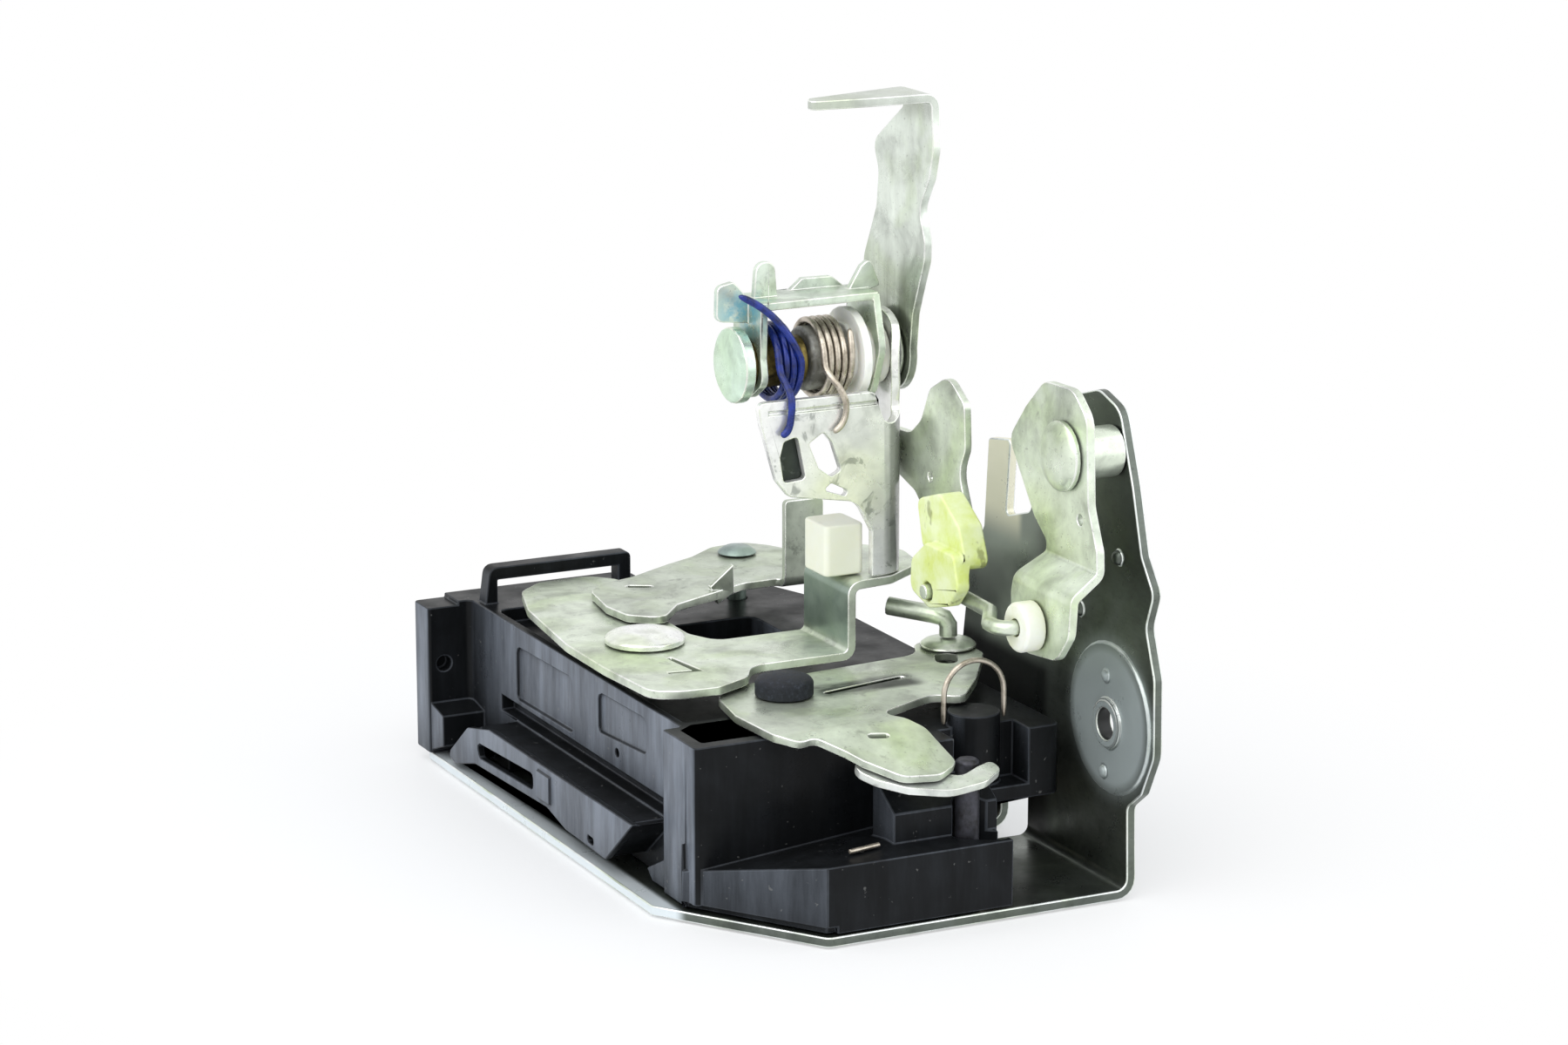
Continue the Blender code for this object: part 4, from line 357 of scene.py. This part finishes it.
def plate_finish(name, colour):
    """Dull dark zinc of the base plate, paler on the screw pad, with painted light at the far edge,
    painted shade up high, in the gap by the housing and in the screw hole, a painted highlight along
    its left edge, and a tan tab.
    """
    g = zinc_finish(name, colour, metallic=0.85, tint=(0.80, 0.84, 0.72), grain=(1, 1, 4), smudge=0.25)
    inward = g.facing(LEFT, 0.2, 0.8)
    pad = g.least(g.spot(PAD_CENTRE, PAD_RADIUS, 4.0), inward)
    bore_wall = g.minus(1.0, g.facing(LEFT, 0.0, 0.3))
    bore_shade = g.times(g.spot(PAD_CENTRE, PAD_BORE_RADIUS, 6.0), bore_wall)
    gap_shade = g.times(g.zone(PLATE_GAP), inward)
    lit_band = g.zone(PLATE_LIT_BAND)
    tab = g.zone(PLATE_TAB)
    # Painted shade, darker towards the top of the flange's inner face
    g.paint(g.times(g.zone(PLATE_UPPER), inward), UPPER_PLATE_SHADE, 0.55)
    # Painted light, paler towards the far edge of the flange's inner face
    g.paint(g.times(g.zone(PLATE_FAR), inward), FAR_PLATE_LIGHT, 0.9)
    g.paint(pad, SCREW_PAD, 0.85)
    # Painted shade on the walls of the screw hole
    g.paint(bore_shade, SCREW_BORE_SHADE)
    # Painted shade in the gap between the housing and the flange
    g.paint(gap_shade, PLATE_GAP_SHADE)
    # Painted highlight along the base plate's left edge, less metallic
    g.paint(lit_band, LEFT_BAND_HIGHLIGHT, 0.9)
    g.paint(tab, TAN_TAB, 0.9)
    dull = g.most(g.most(gap_shade, bore_shade), g.most(pad, tab))
    g.metal(g.most(dull, lit_band), 0.85, 0.25)
    return g


def plate_edge_finish(name, colour):
    """Bright sheared edges of the base plate, dull round the screw pad."""
    g = zinc_finish(name, colour, 0.30, corner_shade=0.1, smudge=0.1)
    pad = g.least(g.spot(PAD_CENTRE, PAD_EDGE_RADIUS, 5.0), g.facing(LEFT, 0.2, 0.8))
    hole = g.spot(PAD_CENTRE, PAD_HOLE_RADIUS, 4.0)
    g.paint(g.minus(pad, hole), SCREW_PAD)
    return g


def yoke_finish(name, colour):
    """Zinc yoke with blue lacquer rubbed on it where the spring's leg lies."""
    g = zinc_finish(name, colour, smudge=0.6)
    flecks = g.mask(g.noise(260.0, rough=0.7), 0.40, 0.56)
    g.paint(g.times(g.spot(YOKE_RUB, YOKE_RUB_RADIUS), flecks), RUBBED_BLUE, 0.9)
    return g


def release_finish(name, colour):
    """Zinc release lever with soot worked into it along its slot."""
    g = zinc_finish(name, colour, smudge=0.5)
    smear = g.noise(300.0, detail=5.0, rough=0.7, stretch=(0.35, 1.0, 1.0))
    g.paint(g.times(g.zone(RELEASE_SLOT), g.mask(smear, 0.28, 0.50, low=0.25)), SOOT)
    return g


def bracket_finish(name, colour):
    """Zinc support bracket, with a darker, bluer painted reflection on its stepped wall."""
    g = zinc_finish(name, colour)
    # Painted dark reflection on the stepped wall's faces that look left
    g.paint(g.times(g.facing(LEFT, 0.3, 0.9), g.zone(BRACKET_WALL)), WALL_DARK_REFLECTION, 0.75)
    return g


def tall_finish(name, colour):
    """Zinc tall lever, dull on its tab, dark and streaky where it rises from its hub."""
    g = zinc_finish(name, colour, 0.30, 0.75, grain=(1, 1, 0.2))
    g.paint(g.zone(TALL_TAB), DULL_TAB, 0.55)
    streaks = g.mask(g.noise(260.0, rough=0.6, stretch=(1.0, 1.0, 0.15)), 0.34, 0.62, low=0.3)
    g.paint(g.times(g.zone(TALL_FOOT), streaks), OILY_STREAK, 0.9)
    return g


def frame_finish(name, colour):
    """Shiny zinc of the tower frame, blotched, with painted shade down its rolled corner."""
    g = zinc_finish(name, colour, 0.20, 0.45, tint=(0.95, 0.95, 0.90), blotch=0.6, smudge=0.2)
    # Painted shade on the faces of the rolled corner that turn away from the light
    g.paint(g.times(g.facing(CORNER_OUT, 0.85, 0.96), g.zone(FRAME_CORNER)), ROLLED_CORNER_SHADE, 0.75)
    return g


def plastic_finish(name, colour, dust_share, sheen_share):
    """Moulded black plastic: fine texture, scuffs, specks, and a painted sheen on faces that look left,
    kept off the rear and out of corners.
    """
    g = Graph(name, 0.34, 0.0, specular=0.12)
    g.base = colour
    cloud = g.noise(38.0, detail=5.0, rough=0.65, distortion=0.4)
    scuffs = g.noise(210.0, rough=0.7, stretch=(1.0, 1.0, 0.14))
    wear = g.times(g.mask(cloud, 0.38, 0.74, low=0.15), g.mask(scuffs, 0.36, 0.66, low=0.2))
    g.paint(wear, PLASTIC_DUST_AND_SHEEN, dust_share)
    # Painted sheen on faces that look left, none at the rear or in corners
    left_sheen = g.times(g.facing(LEFT, 0.72, 1.0), g.mask(scuffs, 0.30, 0.66, low=0.40))
    left_sheen = g.times(left_sheen, g.minus(1.0, g.zone(HOUSING_REAR)))
    left_sheen = g.times(left_sheen, g.mask(g.open_faces(20.0), 0.45, 1.0))
    g.paint(left_sheen, PLASTIC_DUST_AND_SHEEN, sheen_share)
    specks = g.noise(760.0, detail=2.0, rough=0.5)
    g.paint(g.mask(specks, 0.71, 0.75), PLASTIC_SPECK, 0.30)
    g.vary_roughness(g.noise(90.0, rough=0.6), 0.10, 0.16)
    g.bump(g.noise(2600.0, detail=2.0, rough=0.5), 0.10, 0.03)
    return g


def nylon_finish(name, colour, shadow, roughness, marks=0.55, corner=0.6):
    """Natural nylon, a little cloudy and waxy, with painted shade in its corners and small dark marks.
    """
    g = Graph(name, roughness, 0.0)
    g.shader.inputs["Subsurface Weight"].default_value = 0.15
    g.shader.inputs["Subsurface Radius"].default_value = (1.2 * MM, 1.0 * MM, 0.6 * MM)
    g.shader.inputs["Subsurface Scale"].default_value = 1.0
    g.base = g.ramp(g.noise(150.0, rough=0.6), [(0.34, shadow), (0.60, colour)])
    spots = g.noise(230.0, detail=3.0, rough=0.6, stretch=(1.0, 1.0, 0.5))
    g.paint(g.mask(spots, 0.65, 0.70), NYLON_GRIME, marks)
    # Painted shade in narrow corners, as strongly as corner
    g.shade_corners(2.0, NYLON_CORNER_SHADE, corner)
    g.vary_roughness(g.noise(220.0, detail=3.0, rough=0.5), 0.06, 0.12)
    g.bump(g.noise(1500.0, detail=2.0, rough=0.5), 0.08, 0.03)
    return g


def drum_finish(name, colour, shadow):
    """White nylon drum, darker where the bare spring is wound on it."""
    g = nylon_finish(name, colour, shadow, 0.40, marks=0.08, corner=0.35)
    wound_mottle = g.mask(g.noise(260.0, rough=0.6), 0.30, 0.60, low=0.55)
    g.paint(g.times(g.zone(DRUM_WOUND), wound_mottle), WOUND_DARK, 0.92)
    return g


def rubber_finish(name, colour):
    """Bluish black rubber with a coarse, mottled skin."""
    g = Graph(name, 0.62, 0.0, specular=0.25)
    mottle = g.noise(900.0, rough=0.7)
    g.base = g.ramp(mottle, [(0.36, shade(colour, 0.5)), (0.56, colour), (0.72, shade(colour, 2.6))])
    g.vary_roughness(mottle, 0.12, 0.13)
    g.bump(mottle, 0.5, 0.12)
    return g


def wire_finish(name, colour, dark, roughness, metallic):
    """Drawn wire: streaks and worn patches, with painted shade where it lies against something."""
    g = Graph(name, roughness, metallic)
    g.base = g.ramp(g.noise(330.0, rough=0.65), [(0.34, dark), (0.58, colour)])
    # Painted shade where the wire lies against something
    g.shade_corners(1.2, WIRE_CORNER_SHADE, 0.6)
    g.vary_roughness(g.noise(500.0, detail=3.0, rough=0.6), 0.08, 0.14)
    g.bump(g.noise(1800.0, detail=2.0, rough=0.5), 0.10, 0.03)
    return g


# A line gives a name and a colour, the darker colour of nylon and wire, then roughness and metallic
# where they aren't the usual ones.
FINISHES = (
    zinc_finish("zinc", ZINC),
    zinc_finish("zinc_edge", (0.94, 0.96, 0.91), 0.24, 0.75, corner_shade=0.1, smudge=0.1),
    yoke_finish("yoke_zinc", (0.72, 0.80, 0.70)),
    release_finish("release_zinc", shade(ZINC, 0.84)),
    zinc_finish("relay_zinc", shade(ZINC, 0.72), 0.34, smudge=0.75),
    zinc_finish("hook_zinc", (0.90, 0.94, 0.88), 0.30, 0.60, smudge=0.15),
    bracket_finish("bracket_zinc", shade(ZINC, 0.90)),
    tall_finish("tall_zinc", (0.76, 0.82, 0.74)),
    frame_finish("tower_zinc", (1.0, 1.0, 0.99)),
    zinc_finish("mint_zinc", (0.70, 0.86, 0.74), 0.28, smudge=0.2, corner_shade=0.3),
    zinc_finish("bright_zinc", (0.96, 0.97, 0.94), 0.26, 0.55, smudge=0.05, corner_shade=0.2),
    zinc_finish("grey_zinc", (0.32, 0.40, 0.38), 0.34, smudge=0.5),
    plate_finish("dark_zinc", (0.15, 0.17, 0.15)),
    plate_edge_finish("dark_zinc_edge", (0.86, 0.90, 0.88)),
    # Near black zinc of the plate inside the tower frame, as painted shade
    zinc_finish("inner_zinc_shade", (0.045, 0.055, 0.050), 0.36, 0.60, blotch=0.3),
    plastic_finish("black_plastic", (0.0045, 0.005, 0.0055), dust_share=0.055, sheen_share=0.82),
    plastic_finish("black_plastic_edge", (0.022, 0.024, 0.027), dust_share=0.3, sheen_share=0.75),
    rubber_finish("black_rubber", (0.020, 0.023, 0.030)),
    wire_finish("black_steel", (0.060, 0.060, 0.075), (0.02, 0.02, 0.02), 0.40, 0.5),
    wire_finish("bare_steel", (0.64, 0.58, 0.49), (0.30, 0.26, 0.20), 0.30, 0.80),
    wire_finish("blue_lacquer", (0.013, 0.034, 0.27), (0.004, 0.010, 0.07), 0.24, 0.15),
    wire_finish("brass", (0.26, 0.20, 0.06), (0.06, 0.045, 0.015), 0.38, 0.8),
    nylon_finish("white_nylon", (0.94, 0.95, 0.86), (0.84, 0.86, 0.66), 0.40, marks=0.12),
    drum_finish("drum_nylon", (0.99, 0.99, 0.94), (0.94, 0.95, 0.84)),
    nylon_finish("cream_nylon", (0.97, 0.985, 0.84), (0.95, 0.96, 0.78), 0.42, marks=0.08, corner=0.25),
    nylon_finish("green_nylon", (0.86, 0.94, 0.58), (0.72, 0.82, 0.24), 0.36),
)
MATERIALS = {finish.name: finish.finished() for finish in FINISHES}

# Looks whose broken edges have a material of their own
PALE_EDGED = ("zinc", "relay_zinc", "hook_zinc", "yoke_zinc", "release_zinc", "bracket_zinc",
              "tall_zinc", "tower_zinc", "mint_zinc", "bright_zinc")
EDGE_OF = {look: "zinc_edge" for look in PALE_EDGED}
EDGE_OF["dark_zinc"] = "dark_zinc_edge"
EDGE_OF["black_plastic"] = "black_plastic_edge"

# Nodes that don't look as their material slot says
LOOKS = {
    "tower_frame": "tower_zinc",
    "tower_pin": "mint_zinc",
    "bracket_rivet": "bright_zinc",
    "relay_rivet": "grey_zinc",
    "yoke_lever": "yoke_zinc",
    "release_lever": "release_zinc",
    "support_bracket": "bracket_zinc",
    "tall_lever": "tall_zinc",
    "relay_lever": "relay_zinc",
    "catch_hook": "hook_zinc",
    "spring_drum": "drum_nylon",
}

# Width of a broken edge, and the angle in degrees from which an edge counts as sharp
RIM = 0.22
RIMS = {
    "housing": 0.30,
    "base_plate": 0.30,
    "mouth_bumper": 0.4,
    "nylon_block": 0.5,
    "rod_clip": 0.5,
    "seal_wire": 0.1,
}
CREASE = 32
CREASES = {"cable_pin": 44, "link_rod": 44, "seal_wire": 62}
RIM_SEGMENTS = 2
NORMAL_WEIGHT = 80

# Wires that are made round, and how far smoothing draws in the surface of each
WIRES = {"blue_spring": 0.08, "plain_spring": 0.07, "fork_spring": 0.04, "pawl_spring": 0.06}
WIRE_LEVELS = 2

# Points this close are one, and faces within this angle, in degrees, are flat. Steps narrower than a
# node's sliver are closed before its edges are broken, because a broken edge would cross itself there.
WELD = 0.004
SLIVERS = {"housing": 0.22}
FLAT_ANGLE = 0.4

# Plate that stands inside the tower frame, behind its left window, near black as painted shade. Its
# corners are X and Z.
BLADE_CORNERS = ((-2.2, 87.0), (5.6, 87.0), (6.2, 75.2), (1.6, 74.4), (-1.6, 79.6))
FRAME_SHEET = 1.8
BLADE_GAP = 0.05
BLADE_FRONT = span("tower_frame", "Y")[0] + FRAME_SHEET + BLADE_GAP
BLADE_THICKNESS = 1.0
BLADE_RADIUS = 1.6
BLADE_ARC_SEGMENTS = 5
BLADE_RIM = 0.15
BLADE_CREASE = 40

# Floor, whose reach is in metres, and how strongly the world lights the object
FLOOR_REACH = 6.0
FLOOR_DROP = 0.4
FLOOR_SHADE_RADIUS = 300.0
SKY_STRENGTH = 0.62


def copied(node):
    """Copy of a CAD node's mesh, welded, with its flat faces made whole again."""
    bm = bmesh.new()
    bm.from_mesh(frame["nodes"][node].data)
    bmesh.ops.remove_doubles(bm, verts=bm.verts, dist=WELD * MM)
    bmesh.ops.dissolve_limit(bm, angle_limit=radians(FLAT_ANGLE), verts=bm.verts, edges=bm.edges,
                             use_dissolve_boundaries=False)
    bmesh.ops.remove_doubles(bm, verts=bm.verts, dist=SLIVERS.get(node, WELD) * MM)
    bmesh.ops.recalc_face_normals(bm, faces=bm.faces)
    mesh = bpy.data.meshes.new(node + "_shape")
    bm.to_mesh(mesh)
    bm.free()
    return mesh


def new_piece(name, mesh, looks):
    """Object with a mesh and its materials, put into the scene."""
    for look in looks:
        mesh.materials.append(MATERIALS[look])
    piece = bpy.data.objects.new(name, mesh)
    bpy.context.scene.collection.objects.link(piece)
    return piece


def broken_edges(piece, rim, crease):
    """Modifier that breaks a piece's sharp edges."""
    bevel = piece.modifiers.new("Broken edges", "BEVEL")
    bevel.width = rim * MM
    bevel.segments = RIM_SEGMENTS
    bevel.limit_method = "ANGLE"
    bevel.angle_limit = radians(crease)
    return bevel


def stand_in(piece, node):
    """Let a piece stand for a CAD node."""
    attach(piece, BODY_OF[node])
    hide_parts(node)


def dress(node, look, rim, crease):
    """Piece that stands for a CAD node: the same form with its sharp edges broken."""
    piece = new_piece(node + "_skin", copied(node), (look, EDGE_OF.get(look, look)))
    piece.data.shade_smooth()
    piece.data.set_sharp_from_angle(angle=radians(crease))
    bevel = broken_edges(piece, rim, crease)
    bevel.use_clamp_overlap = False
    bevel.material = 1
    normals = piece.modifiers.new("Face weighted normals", "WEIGHTED_NORMAL")
    normals.weight = NORMAL_WEIGHT
    stand_in(piece, node)


def dress_wire(node, look, swell):
    """Wire that stands for a CAD node, smoothed, then swollen by what smoothing takes off."""
    piece = new_piece(node + "_skin", copied(node), (look,))
    piece.data.shade_smooth()
    rounder = piece.modifiers.new("Round wire", "SUBSURF")
    rounder.levels = WIRE_LEVELS
    rounder.render_levels = WIRE_LEVELS
    fuller = piece.modifiers.new("Full thickness", "DISPLACE")
    fuller.strength = swell * MM
    fuller.mid_level = 0.0
    stand_in(piece, node)


def make_blade():
    """Inner plate of the tower frame, with rounded corners and broken edges, near black as painted
    shade.
    """
    bm = bmesh.new()
    corners = [bm.verts.new((x * MM, BLADE_FRONT * MM, z * MM)) for x, z in BLADE_CORNERS]
    bm.faces.new(corners)
    bmesh.ops.bevel(bm, geom=corners, offset=BLADE_RADIUS * MM, segments=BLADE_ARC_SEGMENTS,
                    profile=0.5, affect="VERTICES")
    grown = bmesh.ops.extrude_face_region(bm, geom=bm.faces[:])["geom"]
    back = [item for item in grown if isinstance(item, bmesh.types.BMVert)]
    bmesh.ops.translate(bm, verts=back, vec=(0.0, BLADE_THICKNESS * MM, 0.0))
    bmesh.ops.recalc_face_normals(bm, faces=bm.faces)
    mesh = bpy.data.meshes.new("frame_blade")
    bm.to_mesh(mesh)
    bm.free()
    piece = new_piece("frame_blade", mesh, ("inner_zinc_shade",))
    broken_edges(piece, BLADE_RIM, BLADE_CREASE)
    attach(piece, BODY_OF["tower_frame"])


def seen_rays(tree):
    """White for what the camera, a reflection or glass sees, black for light on the object."""
    path = tree.nodes.new("ShaderNodeLightPath")
    seen = path.outputs["Is Camera Ray"]
    for kind in ("Is Glossy Ray", "Is Transmission Ray"):
        either = tree.nodes.new("ShaderNodeMath")
        either.operation = "MAXIMUM"
        tree.links.new(seen, either.inputs[0])
        tree.links.new(path.outputs[kind], either.inputs[1])
        seen = either.outputs[0]
    return seen


def make_floor():
    """Pale floor that looks white from afar and keeps the object's shadow."""
    corners = [(x * FLOOR_REACH, y * FLOOR_REACH, 0) for x, y in ((-1, -1), (1, -1), (1, 1), (-1, 1))]
    mesh = bpy.data.meshes.new("floor")
    mesh.from_pydata(corners, [], [(0, 1, 2, 3)])
    floor = bpy.data.objects.new("floor", mesh)
    floor.location.z = -FLOOR_DROP * MM
    bpy.context.scene.collection.objects.link(floor)
    g = Graph("floor", 0.6, 0.0)
    g.base = g.ramp(g.noise(3.0, detail=2.0), [(0.3, FLOOR_LOW), (0.7, FLOOR_HIGH)])
    afar = g.minus(1.0, g.spot((0, 0, 0), FLOOR_SHADE_RADIUS))
    share = g.mask(afar, 0.05, 0.60, low=0.35)
    glow = g.node("ShaderNodeEmission")
    mix = g.node("ShaderNodeMixShader")
    g.link(g.times(seen_rays(g.tree), share), mix.inputs[0])
    g.link(g.shader.outputs[0], mix.inputs[1])
    g.link(glow.outputs[0], mix.inputs[2])
    g.link(mix.outputs[0], g.tree.nodes["Material Output"].inputs["Surface"])
    mesh.materials.append(g.finished())


def make_camera():
    azimuth, elevation = CAMERA_AZIMUTH, CAMERA_ELEVATION
    back = Vector((sin(azimuth) * cos(elevation), -cos(azimuth) * cos(elevation), sin(elevation)))
    right = Vector((cos(azimuth), sin(azimuth), 0))
    up = back.cross(right)
    turn = Matrix((right, up, back)).transposed().to_4x4()
    data = bpy.data.cameras.new("camera")
    data.sensor_width = CAMERA_SENSOR
    data.lens = CAMERA_LENS
    data.clip_start = CAMERA_CLIP * MM
    camera = bpy.data.objects.new("camera", data)
    camera.matrix_world = Matrix.Translation(CAMERA_PLACE) @ turn
    bpy.context.scene.collection.objects.link(camera)
    bpy.context.scene.camera = camera


def make_world():
    """Soft light from all round, and white where the world itself is seen."""
    world = bpy.data.worlds.new("studio")
    bpy.context.scene.world = world
    world.use_nodes = True
    tree = world.node_tree
    tree.nodes.clear()
    mix = tree.nodes.new("ShaderNodeMixShader")
    tree.links.new(seen_rays(tree), mix.inputs[0])
    for socket, colour, strength in ((mix.inputs[1], SKY, SKY_STRENGTH), (mix.inputs[2], WHITE, 1.0)):
        background = tree.nodes.new("ShaderNodeBackground")
        background.inputs["Color"].default_value = (*colour, 1.0)
        background.inputs["Strength"].default_value = strength
        tree.links.new(background.outputs[0], socket)
    output = tree.nodes.new("ShaderNodeOutputWorld")
    tree.links.new(mix.outputs[0], output.inputs["Surface"])


def make_lamp(name, place, target, side, power, colour):
    """Square lamp. Its place, target and side are in metres, its power in watts."""
    data = bpy.data.lights.new(name, "AREA")
    data.shape = "SQUARE"
    data.size = side
    data.energy = power
    data.color = colour
    lamp = bpy.data.objects.new(name, data)
    lamp.location = place
    lamp.rotation_euler = (Vector(target) - Vector(place)).to_track_quat("-Z", "Y").to_euler()
    bpy.context.scene.collection.objects.link(lamp)


for name in sorted(frame["nodes"]):
    look = LOOKS.get(name, SLOT_OF[name])
    if name in WIRES:
        dress_wire(name, look, WIRES[name])
    else:
        dress(name, look, RIMS.get(name, RIM), CREASES.get(name, CREASE))
make_blade()

make_floor()
make_camera()
make_world()
make_lamp("key", place=(-0.55, -0.25, 0.75), target=(0, 0, 0.04), side=1.3, power=7.6, colour=WHITE)
make_lamp("fill", place=(0.65, -0.55, 0.45), target=(0, 0, 0.05), side=1.2, power=3.6, colour=COOL)
bpy.context.scene.view_settings.view_transform = "Standard"
